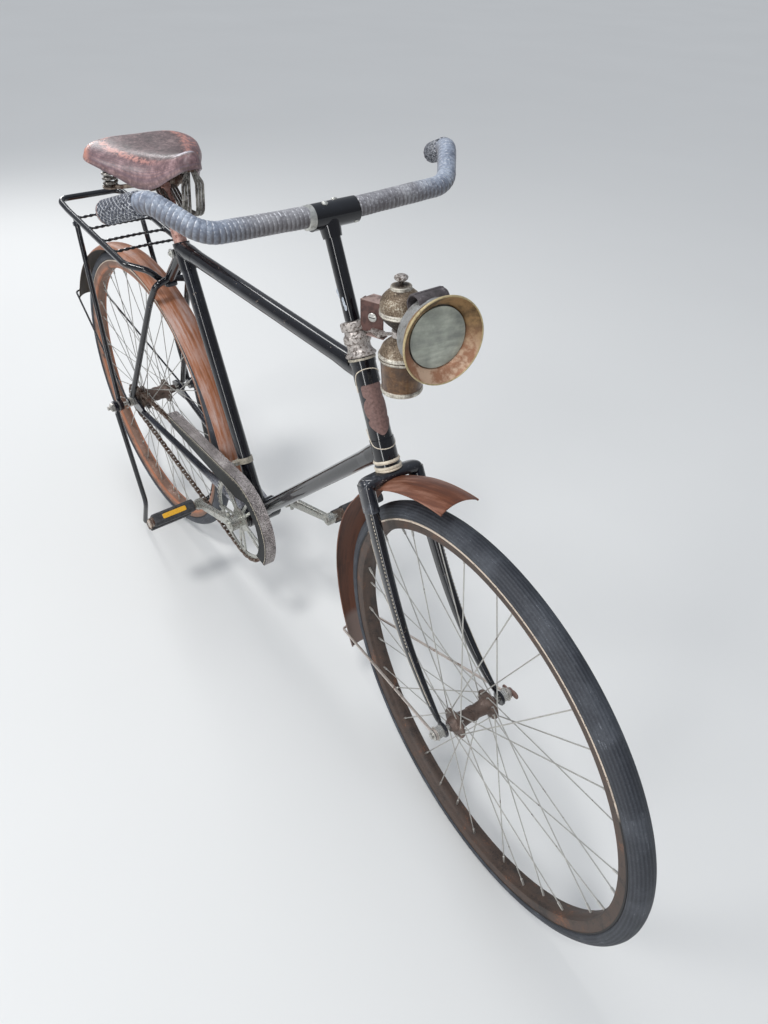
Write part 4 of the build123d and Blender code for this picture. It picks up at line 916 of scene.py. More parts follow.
@dataclass(frozen=True)
class LampBody(Finish):
    """Generator of the lamp by its height: bright bands, a glossy brown can, dark neck and a pitted dome."""

    foot: tuple[float, float, float]
    up: tuple[float, float, float]
    name: str = "lamp_nickel"

    def shade(self, g: Graph) -> Material:
        """Height is the part of (place - foot) along the axis, and each zone of the lamp is a window of it."""
        x, y, z = g.axes()
        cloud, fine, coarse = g.noise(40, 6, 0.66), g.noise(560, 4, 0.6), g.noise(130, 4, 0.6)
        tall = (x - self.foot[0]) * self.up[0] + (y - self.foot[1]) * self.up[1] + (z - self.foot[2]) * self.up[2]

        def zone(low: float, high: float) -> Wire:
            """1 between two heights in millimetres, with soft ends."""
            low, high, soft = low / 1000, high / 1000, 0.0006
            return tall.between(low - soft, low + soft) * tall.between(high + soft, high - soft)

        pitted = g.ramp(cloud * 0.5 + fine * 0.5, (0.36, srgb(54, 44, 34)), (0.46, srgb(96, 80, 64)),
                        (0.55, srgb(138, 122, 102)), (0.64, srgb(212, 206, 190)))
        can = g.ramp(cloud * 0.7 + coarse * 0.3, (0.36, srgb(50, 34, 20)), (0.5, srgb(86, 58, 32)),
                     (0.62, srgb(124, 90, 54)))
        bright = g.ramp(coarse * 0.5 + fine * 0.5, (0.38, srgb(132, 122, 112)), (0.5, srgb(190, 184, 172)),
                        (0.6, srgb(222, 218, 206)))
        dark = g.mix(srgb(40, 33, 28), srgb(84, 74, 66), fine.between(0.45, 0.65))
        is_can, is_dark = zone(7.0, 46.0), zone(76.0, 107.0).larger(zone(50.4, 51.6)).larger(zone(145.0, 151.0))
        is_bright = zone(-2.0, 6.8)
        for low, high in ((46.4, 50.4), (52.0, 56.6), (108.2, 114.4), (140.5, 144.8)):
            is_bright = is_bright.larger(zone(low, high))
        colour = g.mix(g.mix(g.mix(pitted, can, is_can), bright, is_bright), dark, is_dark)
        colour = g.mix(colour, srgb(226, 222, 204), fine.between(0.64, 0.7) * (1.0 - is_can * 0.8) * 0.7)
        return g.surface(colour, roughness=0.42 + fine * 0.2 - is_can * 0.2,
                         metallic=0.35 + is_bright * 0.3, coat_weight=is_can * 0.5,
                         normal=g.bump(fine + cloud + coarse, 0.0004, 0.6))


@dataclass(frozen=True)
class FlangePaint(Finish):
    """Chain guard: dark face, its top flange worn to speckled pinkish grey."""

    name: str = "chain_guard_paint"

    def shade(self, g: Graph) -> Material:
        """The face that looks outwards is dark; every other one is pale and speckled."""
        _, ny, _ = g.facing()
        face = (ny * ny).between(0.45, 0.7)
        cloud, fine = g.noise(26, 6, 0.68), g.noise(620, 4, 0.6)
        pale = g.ramp(cloud * 0.25 + fine * 0.75, (0.4, srgb(50, 46, 46)), (0.48, srgb(126, 120, 118)),
                      (0.53, srgb(160, 152, 150)), (0.6, srgb(206, 200, 196)))
        _, _, z = g.axes()
        pale = g.mix(pale, srgb(34, 34, 36), (z + (cloud - 0.5) * 0.04).between(0.275, 0.245) * 0.9)
        scuffed = cloud.between(0.54, 0.72) * 0.5 + fine.between(0.62, 0.76) * 0.3
        dark = g.mix(srgb(15, 18, 19), srgb(58, 60, 62), scuffed)
        return g.surface(g.mix(pale, dark, face), roughness=0.38 + fine * 0.25,
                         normal=g.bump(fine, 0.0003, 0.6), specular_ior_level=0.25)


@dataclass(frozen=True)
class RimEdgeLightShade(Finish):
    """Line on a rim's rolled edge: pale cream as a painted highlight along the upper part of the wheel, near black as
    painted shade in the gap to the tyre elsewhere.
    """

    name: str

    def shade(self, g: Graph) -> Material:
        """Painted highlight in cream above a height that the noise breaks up, painted shade in near black below it.
        """
        _, _, z = g.axes()
        cloud, fine = g.noise(30, 4, 0.6), g.noise(400, 3, 0.6)
        painted_highlight = (z + (cloud - 0.5) * 0.12).between(0.52, 0.56) * fine.between(0.3, 0.42)
        colour = g.mix(srgb(30, 28, 28), srgb(216, 200, 182), painted_highlight)
        return g.surface(colour, roughness=0.5 + fine * 0.1, normal=g.bump(fine, 0.0002, 0.5))


@dataclass(frozen=True)
class PalePlane(Finish):
    """Plain pale floor."""

    name: str = "studio_floor"

    def shade(self, g: Graph) -> Material:
        """Even colour with a very faint cloud."""
        colour = g.mix(srgb(222, 222, 220), srgb(228, 228, 226), g.noise(0.8, 3, 0.5))
        return g.surface(colour, roughness=0.8)


BLACK = Enamel()
# The crown's heavy pale grey dust is partly real dust and wear and partly a painted sheen.
CROWN_DUST_AND_SHEEN = Enamel("crown_enamel", srgb(26, 28, 36), srgb(138, 144, 154), srgb(176, 168, 156), 0.9, 0.7, 0.3)
WORN_BLACK = Enamel("worn_enamel", srgb(26, 28, 35), srgb(104, 108, 118), srgb(168, 158, 148), 0.4, 0.7, 0.28)
STAY_BLACK = Enamel("stay_enamel", srgb(18, 20, 28), dusty=0.3, rubbed=(-0.27, -0.14))
GLOSS_BLACK = Enamel("gloss_enamel", srgb(10, 11, 17), srgb(60, 66, 80), srgb(190, 190, 190), 0.1, 0.83, 0.1)
NICKEL = Plating("rusty_nickel", srgb(176, 178, 172), srgb(84, 66, 54), rusted=0.38, rough=0.26)
PILLAR = Plating("rusty_pillar", srgb(196, 152, 140), srgb(150, 98, 84), srgb(214, 194, 186), 0.5, 0.42, 80.0)
STAY_WIRE = Plating("stay_wire", srgb(196, 186, 178), srgb(122, 92, 80), srgb(220, 210, 202), 0.4, 0.4, 90.0)
WING_RUST = Blotched("wing_rust", srgb(78, 60, 54), srgb(124, 98, 90), srgb(172, 142, 132), 90.0, 0.2, 0.5)
PITTED = Plating("pitted_nickel", srgb(184, 176, 170), srgb(98, 78, 66), srgb(240, 236, 232), 0.52, 0.42, 240.0,
                 0.0007)
STEEL = Plating("rusty_steel", srgb(124, 112, 102), srgb(84, 54, 38), srgb(170, 156, 144), 0.62, 0.45, 90.0, 0.0005)
SPRING = Plating("dark_spring", srgb(126, 122, 116), srgb(50, 42, 38), srgb(214, 212, 206), 0.56, 0.3, 46.0)
BRIGHT = Plating("spring_steel", srgb(186, 184, 178), srgb(92, 72, 58), srgb(214, 210, 202), 0.34, 0.26, 120.0)
SPOKE = Plating("spoke_steel", srgb(186, 184, 178), srgb(112, 96, 84), srgb(214, 210, 204), 0.3, 0.38, 40.0)
CREAM = Plain("cream_lining", srgb(226, 214, 194), 0.5, mottle=0.25)
RIM_EDGE_LIGHT_SHADE = RimEdgeLightShade("rim_edge_light_shade")
COPPER = Plain("copper_badge", srgb(130, 102, 96), 0.5, 0.1, 0.35, 260.0)
PLATE_RUST = Plain("rusty_plate", srgb(98, 70, 64), 0.55, 0.1, 0.55, 110.0)
DARK_SLOT = Plain("screw_slot", srgb(30, 28, 28), 0.6)
SCREW = Plain("bright_screw", srgb(206, 206, 200), 0.3, 0.7, 0.25)
DARK_HOOD = Blotched("dark_hood", srgb(48, 44, 44), srgb(84, 78, 80), srgb(146, 140, 142), 90.0, 0.2, 0.5)
SHELL = Blotched("lamp_shell", srgb(84, 78, 72), srgb(138, 138, 136), srgb(190, 194, 196), 70.0, 0.2, 0.48)
PINK_RUST = Plain("pink_rust", srgb(170, 146, 138), 0.55, 0.1, 0.55, 130.0)
BAND = Plain("pale_band", srgb(186, 178, 162), 0.5, 0.2, 0.45)
PEDAL = Plain("pedal_rubber", srgb(66, 66, 68), 0.6, 0.0, 0.6, 120.0)
AMBER = Plain("amber_reflector", srgb(236, 178, 56), 0.2, 0.0, 0.2, 900.0)
PALE_CAP = Plain("pale_cap", srgb(202, 186, 172), 0.45, 0.2, 0.35)
FLOOR = PalePlane()


def build_mesh(name: str, surfaces: Iterable[Surface], seat: Seat) -> bpy.types.Mesh:
    """One mesh of several grids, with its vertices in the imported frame.

    Args:
        name: Name of the mesh.
        surfaces: Grids in the level frame.
        seat: What turns and places them.

    Returns:
        The mesh, with a UV map.
    """
    verts, quads, uvs, base = [], [], [], 0
    for surface in surfaces:
        v, q, w = surface.faces(base)
        verts.append(v)
        quads.append(q)
        uvs.append(w)
        base += len(v)
    verts, quads, uvs = seat.place(np.vstack(verts)), np.vstack(quads), np.vstack(uvs)
    corner = np.ones(quads.shape, bool)
    corner[:, 3] = quads[:, 3] != quads[:, 2]
    corner[:, 0] &= quads[:, 0] != quads[:, 1]
    totals = corner.sum(1)
    mesh = bpy.data.meshes.new(name)
    mesh.vertices.add(len(verts))
    mesh.vertices.foreach_set("co", verts.astype(np.float32).ravel())
    mesh.loops.add(int(totals.sum()))
    mesh.loops.foreach_set("vertex_index", quads[corner].astype(np.int32))
    mesh.polygons.add(len(quads))
    mesh.polygons.foreach_set("loop_start", np.concatenate([[0], np.cumsum(totals)[:-1]]).astype(np.int32))
    layer = mesh.uv_layers.new(name="UVMap")
    layer.data.foreach_set("uv", uvs[corner].astype(np.float32).ravel())
    mesh.update(calc_edges=True)
    mesh.validate()
    return mesh


def add_piece(
    name: str, surfaces: Iterable[Surface], seat: Seat, finish: Finish, stands_for: Sequence[str] = (),
    sharp: float = 40.0,
) -> bpy.types.Object:
    """Puts a piece in the scene, on its body and with its finish.

    Args:
        name: Name of the piece.
        surfaces: Its grids.
        seat: The body it rides on.
        finish: Its finish.
        stands_for: CAD nodes that it replaces.
        sharp: Angle in degrees past which an edge is drawn sharp.

    Returns:
        The object.
    """
    mesh = build_mesh(name, surfaces, seat)
    mesh.polygons.foreach_set("use_smooth", np.ones(len(mesh.polygons), bool))
    mesh.set_sharp_from_angle(angle=math.radians(sharp))
    mesh.materials.append(finish.material())
    piece = bpy.data.objects.new(name, mesh)
    bpy.context.scene.collection.objects.link(piece)
    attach(piece, seat.body)
    if stands_for:
        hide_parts(*stands_for)
    LOG.info("%s: %d faces on %s", name, len(mesh.polygons), seat.body)
    return piece


def dress(nodes: dict, finish: Finish, *names: str) -> None:
    """Gives CAD nodes a finish in place of their packed one.

    Args:
        nodes: CAD nodes by name.
        finish: The finish.
        *names: Nodes that get it.
    """
    for name in names:
        slots = nodes[name].material_slots
        if not slots:
            nodes[name].data.materials.append(finish.material())
        for one in slots:
            one.link = "OBJECT"
            one.material = finish.material()


@dataclass
class Wheel:
    """One wheel: tyre, rim, spokes and hub about its own axle."""

    seat: Seat
    prefix: str
    centre: Array
    tyre_r: float
    spokes: int
    flange_y: float
    flange_r: float
    barrel_r: float
    hub_half: float
    rim_finish: Finish
    hub_finish: Finish
    section_r: float = 18.6
    crosses: int = 3
    # Depth of the rim's well below the tyre's bead
    well: float = 15.0

    @property
    def seat_r(self) -> float:
        """Radius at which the tyre's bead sits in the rim."""
        return self.tyre_r - 27.8

    @property
    def edge_r(self) -> float:
        """Radius of the rim's rolled edges."""
        return self.seat_r + 4.2

    def tyre(self) -> Surface:
        """Ring whose section is a circle with ribs on the tread: radius plus a wave of the section's own angle.

        Returns:
            The closed surface, u round the wheel and v round the section from the rim's middle.
        """
        turn = circle(288)[:, None]
        phi = circle(72)[None, :]
        out = -np.cos(phi)
        tread = np.clip((out - 0.62) / 0.1, 0, 1)
        r = self.section_r - 0.5 * tread * (0.5 - 0.5 * np.cos(phi * 31.0))
        r = r - 0.35 * np.exp(-(((out - 0.45) / 0.05) ** 2)) - 0.4 * np.exp(-(((out + 0.35) / 0.06) ** 2))
        radial = self.tyre_r - self.section_r + r * out
        radial = np.maximum(radial, self.edge_r - 6.0)
        pinch = 1.0 - 0.22 * np.clip(-out / 0.27, 0, 1) ** 1.5
        y = np.broadcast_to(r * np.sin(phi) * pinch, (288, 72))
        ring = np.stack([radial * np.cos(turn), y, radial * np.sin(turn)], -1)
        return Surface(ring + self.centre, wrap_rows=True)

    def rim(self) -> Surface:
        """Closed loop of (width, radius) turned about the axle: rolled edges, upright sides and a rounded well.

        Returns:
            The closed ring.
        """
        edge, low = self.edge_r, self.seat_r - self.well
        side = [(-13.4, edge - 4), (-13.0, edge - 1.2), (-14.2, edge + 0.6), (-15.7, edge + 0.5), (-16.4, edge - 1.4),
                (-15.6, edge - 4.2), (-15.1, edge - 9), (-14.8, edge - 14), (-13.8, edge - 16.4),
                (-11.6, edge - 17.4), (-8.2, edge - 17.0), (-6.6, low + 1.2), (-3.0, low + 0.2)]
        loop = side + [(0.0, low)] + [(-y, r) for y, r in reversed(side)] + [(0.0, edge - 9.0)]
        return turned(self.centre, LEFT, loop, 160, ring=True)

    def laces(self) -> tuple[Array, Array]:
        """Ends of each spoke: hub holes alternate sides and leads, and each lead runs a fixed number of holes round.

        Returns:
            Arrays of the hub ends and the rim ends.
        """
        half = self.spokes // 2
        side = np.repeat([-1.0, 1.0], half)
        i = np.tile(np.arange(half), 2)
        lead = np.where(i % 2, 1.0, -1.0)
        pitch = 2 * np.pi / half
        hub = pitch * i + np.where(side > 0, 0.0, pitch / 2)
        rim = hub + lead * self.crosses * pitch * 0.98
        end_r = self.seat_r - self.well + 0.8
        a = self.flange_r * in_wheel(hub) + LEFT * (side * (self.flange_y + lead * 2.6))[:, None]
        b = end_r * in_wheel(rim) + LEFT * (side * 3.0)[:, None]
        return a + self.centre, b + self.centre

    def spoke_set(self) -> Iterator[Surface]:
        """Every spoke as a thin six-sided bar with a fatter nipple at its rim end.

        Returns:
            The spokes and their hub ends.
        """
        for a, b in zip(*self.laces()):
            way = unit(b - a)
            length = float(np.linalg.norm(b - a))
            at = np.array([0.0, length - 14.0, length - 13.0, length])
            path = a + way * at[:, None]
            yield tube(path, np.array([1.0, 1.0, 2.0, 2.0]), 6, LEFT)
            foot = a - xyz(0.0, math.copysign(3.2, a[1]), 0.0)
            yield straight(a, foot, 1.3, 6)

    def hub(self) -> list[Surface]:
        """Barrel with two thin flanges, a lubricator clip and a locknut at each end.

        Returns:
            The barrel and the clip.
        """
        f, y, b, h = self.flange_r + 5, self.flange_y, self.barrel_r, self.hub_half
        half = [(-h, 5.2), (-h, 8.5), (-h + 2, 9.5), (-y - 8, 11.5), (-y - 2.2, 13), (-y - 1.8, f - 2), (-y - 1, f),
                (-y + 1, f), (-y + 1.8, f - 2), (-y + 2.4, b + 5), (-y + 6, b + 1.2), (-y + 12, b),
                (-y * 0.3, b - 1.2)]
        profile = half + [(-y0, r) for y0, r in reversed(half)]
        barrel = turned(self.centre, LEFT, profile, 56)
        clip = turned(self.centre - LEFT * 4, LEFT, [(0, b - 1.5), (0, b), (8, b), (8, b - 1.5)], 40, ring=True)
        return [barrel, clip]

    def build(self) -> None:
        """Adds the wheel's five pieces."""
        name = self.prefix
        add_piece(f"{name}_tyre_tread", [self.tyre()], self.seat, Rubber(), [f"{name}_tyre"])
        add_piece(f"{name}_rim_rolled", [self.rim()], self.seat, self.rim_finish, [f"{name}_rim"])
        add_piece(f"{name}_spoke_set", self.spoke_set(), self.seat, SPOKE, [f"{name}_spokes"])
        add_piece(f"{name}_hub_barrel", self.hub(), self.seat, self.hub_finish, [f"{name}_hub"])
        # Line on the rolled edge: a painted highlight along the wheel's top and painted shade in the gap to the tyre
        # below it.
        edge = [(w, self.edge_r + r) for w, r in ((-16.8, -1.5), (-16.1, 0.8), (-15.2, 1.1), (-15.5, -0.6))]
        line = turned(self.centre, LEFT, edge, 160, ring=True)
        add_piece(f"{name}_rim_edge_light_shade", [line], self.seat, RIM_EDGE_LIGHT_SHADE)


@dataclass
class Saddle:
    """Leather top, the two rear coils and the looped wires that carry the nose."""

    # Half of the lower edge from the back to the nose: x, y, z of the edge
    edge: tuple = (
        (98, 0, 599), (97, 40, 598), (99, 74, 597), (109, 97, 595), (136, 108, 591), (170, 98, 585), (200, 79, 574),
        (230, 58, 561), (262, 39, 566), (304, 22, 592), (332, 15, 607), (342, 9, 612), (345, 0, 614))
    # Crest of the leather: x and z
    crest: tuple = (
        (97, 622), (109, 622), (136, 618), (170, 615), (200, 613), (230, 613), (262, 616), (304, 625), (345, 640))
    coil_at: tuple = (132.0, 70.0, 538.0)
    coil_r: float = 15.0
    coil_height: float = 52.0
    # Middle of the clamp on the seat pillar
    clamp: Array = field(default_factory=lambda: SEAT_CLUSTER + SEAT_TUBE_UP * 120.0)

    def leather(self) -> bpy.types.Object:
        """Leather as a grid from its edge (v 0) to its spine (v 1); the height follows a quarter of a superellipse.

        Returns:
            The object, whose wall a Solidify modifier gives.
        """
        half = smooth_through(self.edge, 61)
        loop = np.vstack([half, (half * xyz(1, -1, 1))[-2:0:-1]])
        v = np.linspace(0, 1, 26)[None, :, None]
        spine_x = np.clip(loop[:, 0], 150, 326)[:, None, None]
        plan = loop[:, None, :2] * (1 - v) + np.concatenate([spine_x, 0 * spine_x], -1) * v
        top = np.interp(plan[..., 0], *zip(*self.crest))
        rise = (1 - (1 - v[..., 0]) ** 2.5) ** (1 / 2.2)
        sag = 2.0 * np.exp(-(((plan[..., 0] - 190) / 60) ** 2)) * np.exp(-((plan[..., 1] / 30) ** 2))
        z = loop[:, None, 2] + (top - loop[:, None, 2]) * rise - sag
        bulge = 1 + 0.018 * np.sin(np.pi * np.clip(v[..., 0] * 3, 0, 1))
        points = np.stack([plan[..., 0], plan[..., 1] * bulge, z], -1)
        piece = add_piece("saddle_leather", [Surface(points[::-1], wrap_rows=True, wrap_columns=False)], Seat.FRAME,
                          Leather(), ["saddle_top"], 70)
        weld = piece.modifiers.new("weld", "WELD")
        weld.merge_threshold = 0.0002
        wall = piece.modifiers.new("wall", "SOLIDIFY")
        wall.thickness, wall.offset = 0.0042, -1.0
        return piece

    def helix(self, side: int) -> Surface:
        """Coil spring: a circle's angle grows with height, tighter at both ends.

        Args:
            side: -1 for the right, 1 for the left.

        Returns:
            The coil.
        """
        t = np.linspace(0, 1, 150)
        a = 2 * np.pi * 5.2 * t
        r = (self.coil_r - 3.2) * (0.9 + 0.1 * np.sin(np.pi * t))
        z = self.coil_at[2] + 3 + (self.coil_height - 8) * t
        path = np.stack([self.coil_at[0] + r * np.cos(a), side * self.coil_at[1] + r * np.sin(a), z], -1)
        return tube(path, 3.0, 8)

    def wires(self) -> Iterator[Surface]:
        """Three looped wires on each side from the clamp round to the nose plate.

        Returns:
            The wires.
        """
        clamp = self.clamp
        nose = xyz(322.0, 0.0, 609.0)
        for side in (-1, 1):
            for y in (7.0, 13.0, 19.0):
                corners = [clamp + xyz(6, side * y, -4), (262, side * y, clamp[2] - 38),
                           (324, side * y, clamp[2] - 33), (331, side * y, clamp[2] + 27),
                           nose + xyz(4, side * y * 0.3, 0)]
                yield tube(rounded_path(corners, [22, 24, 14]), 2.6, 8, LEFT)

    def irons(self) -> Iterator[Surface]:
        """Clamp with its bolt, the arms to the coils, coil seats, cantle bar and nose plate.

        Returns:
            The irons.
        """
        clamp = self.clamp
        across = [(-30, 6), (-30, 10), (-26, 13), (-16, 13), (-14, 11), (14, 11), (16, 13), (26, 13), (30, 10),
                  (30, 6)]
        yield turned(clamp, LEFT, across, 32)
        yield from [hexagon(clamp + LEFT * y, LEFT, 9, 7) for y in (30, -37)]
        yield bead((322, 0, 609), (10, 8, 5), power=4)
        for side in (-1, 1):
            coil = self.coil_at * xyz(1, side, 1)
            arm = [clamp + LEFT * side * 24, coil + xyz(22, -side * 10, 6), coil + UP * 3]
            yield tube(rounded_path(arm, [24]), 4.0, 10)
            cup = [(0, 12), (1, 15.5), (4, 15.5), (5, 13)]
            yield turned(coil, UP, cup, 28)
            yield turned(coil + UP * (self.coil_height - 6), UP, cup, 28)
        bow = smooth_through([(128, -80, 591), (112, -45, 592), (106, 0, 593), (112, 45, 592), (128, 80, 591)], 40)
        yield tube(bow, 4.5, 10, UP, 0.6)

    def build(self) -> None:
        """Adds the saddle's pieces."""
        self.leather()
        coils = [self.helix(-1), self.helix(1)]
        add_piece("saddle_coils", coils, Seat.FRAME, SPRING, ["saddle_springs"])
        add_piece("saddle_wires", self.wires(), Seat.FRAME, SPRING)
        add_piece("saddle_irons", self.irons(), Seat.FRAME, STEEL)


@dataclass
class Handlebar:
    """Taped bar, its net grips and the stem's small fittings."""

    tape_r: float = 14.6
    grip_r: float = 16.0
    grip_length: float = 70.0
    lug_half: float = 36.0
    wrap: float = 6.6
    centre: Array = field(default_factory=lambda: HEAD_TOP + HEAD_UP * 194.2)
    shift: tuple = (3.9, 8.5, 2.8)
    corners: tuple = ((0, 0, 0), (4.7, 189.9, 7.7), (-50.8, 233.2, 39.8), (-124.5, 266.8, 10.6))

    def half(self, side: int) -> Array:
        """Corner points of one half, from the lug outwards."""
        return self.centre + self.shift + self.corners * xyz(1, side, 1)

    def tape(self, side: int) -> tuple[Surface, float]:
        """Wrapped tape: along the bar the radius climbs over each wrap and drops at its edge, shifted once round.

        Args:
            side: -1 for the right half, 1 for the left.

        Returns:
            The surface and its number of wraps.
        """
        c = self.half(side)
        start = c[0] + unit(c[1] - c[0]) * self.lug_half
        stop = c[3] + unit(c[2] - c[3]) * self.grip_length
        path = rounded_path([start, c[1], c[2], stop], [43, 32], 1.6)
        path, length = spaced(path, lambda whole: np.linspace(0, whole, int(whole / 0.9)))
        along = np.linspace(0, length, len(path))[:, None]
        sides = 40
        a = np.arange(sides)[None, :] / sides
        phase = (along / self.wrap + a) % 1.0
        lump = 0.25 * np.sin(along / 9.0 + 12 * a) * np.sin(along / 23.0)
        r = self.tape_r - 1.0 + 0.6 * phase**0.8 * np.clip((1 - phase) / 0.3, 0, 1) ** 0.5 + lump * 0.8
        return tube(path, r, sides, UP), length / self.wrap

    def grip(self, side: int) -> list[Surface]:
        """Grip sleeve with crossing cords: the radius rises where either family of lines passes, plus its end cap.

        Args:
            side: -1 for the right, 1 for the left.

        Returns:
            The sleeve and its cap.
        """
        c = self.half(side)
        way = unit(c[3] - c[2])
        start = c[3] - way * self.grip_length
        t = np.linspace(0, 1, 120)[:, None]
        sides, turns, starts = 112, 10, 14
        a = np.arange(sides)[None, :] / sides
        one, two = (t * turns + a * starts) % 1.0, (t * turns - a * starts) % 1.0
        cord = np.maximum(np.exp(-(((one - 0.2) / 0.12) ** 2)), np.exp(-(((two - 0.2) / 0.12) ** 2)))
        shape = 1 - 0.09 * np.clip((t - 0.94) / 0.06, 0, 1) ** 2 - 0.05 * np.clip((0.03 - t) / 0.03, 0, 1)
        sleeve = tube(start + way * t * self.grip_length, (self.grip_r - 0.8 + 0.7 * cord) * shape, sides, UP)
        cap = turned(c[3] - way * 1.5, way, [(0, 14.4), (2.2, 14.4), (3.8, 12.6), (4.4, 8.0)], 40)
        return [sleeve, cap]

    def fittings(self) -> Iterator[Surface]:
        """Pale band at the lug's right end, the small bolts on its top and the screw below its left end.

        Returns:
            The fittings.
        """
        middle = self.centre + LEFT * self.shift[1]
        ring = [(-7, 14.8), (-6.4, 15.9), (3.4, 16.2), (4, 15.2)]
        yield turned(self.centre + self.shift - LEFT * (self.lug_half + 3), LEFT, ring, 48)
        for y, lean in ((-14, 0.2), (6, -0.3)):
            out = unit(xyz(lean, 0, 1.0))
            yield turned(middle + LEFT * y + out * 16.8, out, [(0, 4.4), (1.6, 4.4), (2.4, 3.2), (3.2, 1.2)], 14)
        out = unit(xyz(0.75, 0, -0.65))
        yield turned(middle + LEFT * 30 + out * 16.8, out, [(0, 3.2), (1.4, 3.2), (2.0, 1.6)], 14)

    def build(self) -> None:
        """Adds the bar's pieces."""
        for side, name in ((-1, "right"), (1, "left")):
            surface, wraps = self.tape(side)
            finish = Tape("bar_tape", wraps)
            piece = add_piece(f"bar_tape_{name}", [surface], Seat.BAR, finish, sharp=75)
            if side < 0:
                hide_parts("handlebar")
            add_piece(f"grip_net_{name}", self.grip(side), Seat.BAR, Net(), [f"grip_{name}"], 60)
        add_piece("stem_fittings", self.fittings(), Seat.BAR, SCREW)
        # Painted highlight: a streak of bluish white spots down the stem's right side.
        highlight_foot = HEAD_TOP + HEAD_UP * 78
        facing = unit(xyz(0.25, -1.0, 0.1))
        spots = [bead(highlight_foot + HEAD_UP * h + facing * 10.6 + HEAD_AHEAD * x, (3.4, 0.7, 4.4), 8, 12) for h, x in
                 ((17, -7), (12, -5), (7, -3), (4, 1), (-1, 2), (-7, 4))]
        add_piece("stem_painted_highlight", spots, Seat.BAR, Plain("stem_highlight_paint", srgb(196, 204, 214), 0.5))


@dataclass
class Headset:
    """Upper and lower headset rings, the blank badge and the lining of the head tube."""

    # Height above the head tube's top and radius
    upper: tuple = ((0.6, 20), (1.2, 22.0), (3.0, 22.8), (4.8, 21.8), (7, 19.6), (11, 17.6), (14, 16.9), (18.6, 17.1),
                    (20, 18.6), (22, 19.8), (29, 19.6), (31.4, 18.2), (33.4, 16.4), (38, 15.8))
    # Height above the head tube's bottom and radius
    lower: tuple = ((9.4, 17.2), (9.0, 19.8), (6.4, 20.8), (4.0, 19.6), (1.8, 19.0), (0.6, 19.4))
    # Degrees by which the badge sits to the right of straight ahead
    badge_turn: float = 18.0
    race: tuple = ((-0.2, 19.0), (-1.2, 21.0), (-3.4, 21.2), (-4.2, 19.6), (-5.6, 19.6), (-6.8, 20.8), (-8.2, 20.2))

    def on_head(self, degrees: Array, height: Array, radius: float) -> Array:
        """Points on the head tube from the angle to the right of straight ahead and the height above its bottom.

        Args:
            degrees: Angles, positive towards the rider's right.
            height: Distances up the tube.
            radius: Distance from its axis.

        Returns:
            Array of points.
        """
        a = np.radians(np.asarray(degrees, float))[..., None]
        h = np.asarray(height, float)[..., None]
        return HEAD_BOTTOM + HEAD_UP * h + radius * (np.cos(a) * HEAD_AHEAD - np.sin(a) * LEFT)

    def badge(self) -> Surface:
        """Thin plate wrapped on the tube: its half width is the widest of a disc, a crown above and a point below.

        Returns:
            The surface, closed round its rim.
        """
        rise = 48 + 79 * np.linspace(0, 1, 91)[:, None]
        disc_at, crown_at, point_at = 88, 115, 66
        disc = np.sqrt(np.clip(20.5**2 - (rise - disc_at) ** 2, 0, None))
        crown = 17.0 * np.clip(1 - ((rise - crown_at) / 12.2) ** 4, 0, 1) ** 0.5
        point = np.where(rise < point_at, 18.0 * np.clip((rise - 47.6) / 18.4, 0, 1) ** 0.7,
                         18.0 * np.clip(1 - ((rise - point_at) / 9) ** 4, 0, 1) ** 0.5)
        width = np.degrees(np.maximum(np.maximum(disc, crown), point) / HEAD_TUBE_R) + 0.6
        s = np.linspace(-1, 1, 61)[None, :]
        height = rise + 0 * s
        away = np.sqrt((rise - disc_at) ** 2 + (s * np.radians(width) * HEAD_TUBE_R) ** 2)
        ring = 0.22 * wave(away / 6.4) * np.clip((20 - away) / 3, 0, 1)
        ring = ring + 0.14 * wave((rise + 2.5 * np.abs(s)) / 4.5) * (away > 20)
        relief = 0.45 + ring * np.clip((1 - np.abs(s)) / 0.1, 0, 1)
        outer = self.on_head(self.badge_turn + s * width, height, HEAD_TUBE_R + 0.4)
        normal = unit(outer - (HEAD_BOTTOM + HEAD_UP * height[..., None]))
        outer = outer + normal * relief[..., None]
        inner = self.on_head(self.badge_turn + s * width, height, HEAD_TUBE_R - 0.3)[:, ::-1]
        return Surface(np.concatenate([outer, inner], 1))

    def lining(self) -> Iterator[Surface]:
        """Cream lines round the two lugs: bars that follow (angle, height) tables on the lug.

        Returns:
            The lines.
        """
        upper = [(-78, 126), (-60, 128), (-30, 133), (0, 137), (40, 138), (75, 134), (92, 126), (98, 116), (100, 106)]
        lower = [(-90, 47), (-75, 38), (-40, 30), (0, 27), (40, 28), (78, 33), (96, 42), (104, 52), (110, 60)]
        for table, lift in ((upper, 9.0), (lower, 0.0)):
            rows = smooth_through(table, 70)
            yield tube(self.on_head(rows[:, 0], rows[:, 1] + lift, HEAD_TUBE_R + 1.75), 0.7, 6, HEAD_UP)

    def build(self) -> None:
        """Adds the headset's pieces."""
        top = turned(HEAD_TOP, HEAD_UP, self.upper, 96)
        collar = [(38, 15), (38.5, 18.6), (40, 19.4), (49, 19.4), (50.5, 18.6), (51, 14)]
        clamp = turned(HEAD_TOP, HEAD_UP, collar, 64)
        add_piece("headset_rings", [top, clamp], Seat.FORK, PITTED, ["headset_top"])
        add_piece("head_cup_line", [turned(HEAD_BOTTOM, HEAD_UP, self.lower, 64)], Seat.FRAME, CREAM)
        add_piece("head_race_line", [turned(HEAD_BOTTOM, HEAD_UP, self.race, 64)], Seat.FORK, CREAM)
        rim = turned(HEAD_TOP, HEAD_UP, [(-4.0, 19.8), (-3.6, 20.4), (-1.6, 20.4), (-0.4, 19.9)], 64)
        add_piece("head_top_line", [rim], Seat.FRAME, BAND)
        add_piece("head_badge", [self.badge()], Seat.FRAME, COPPER)
        add_piece("head_lining", self.lining(), Seat.FRAME, CREAM)


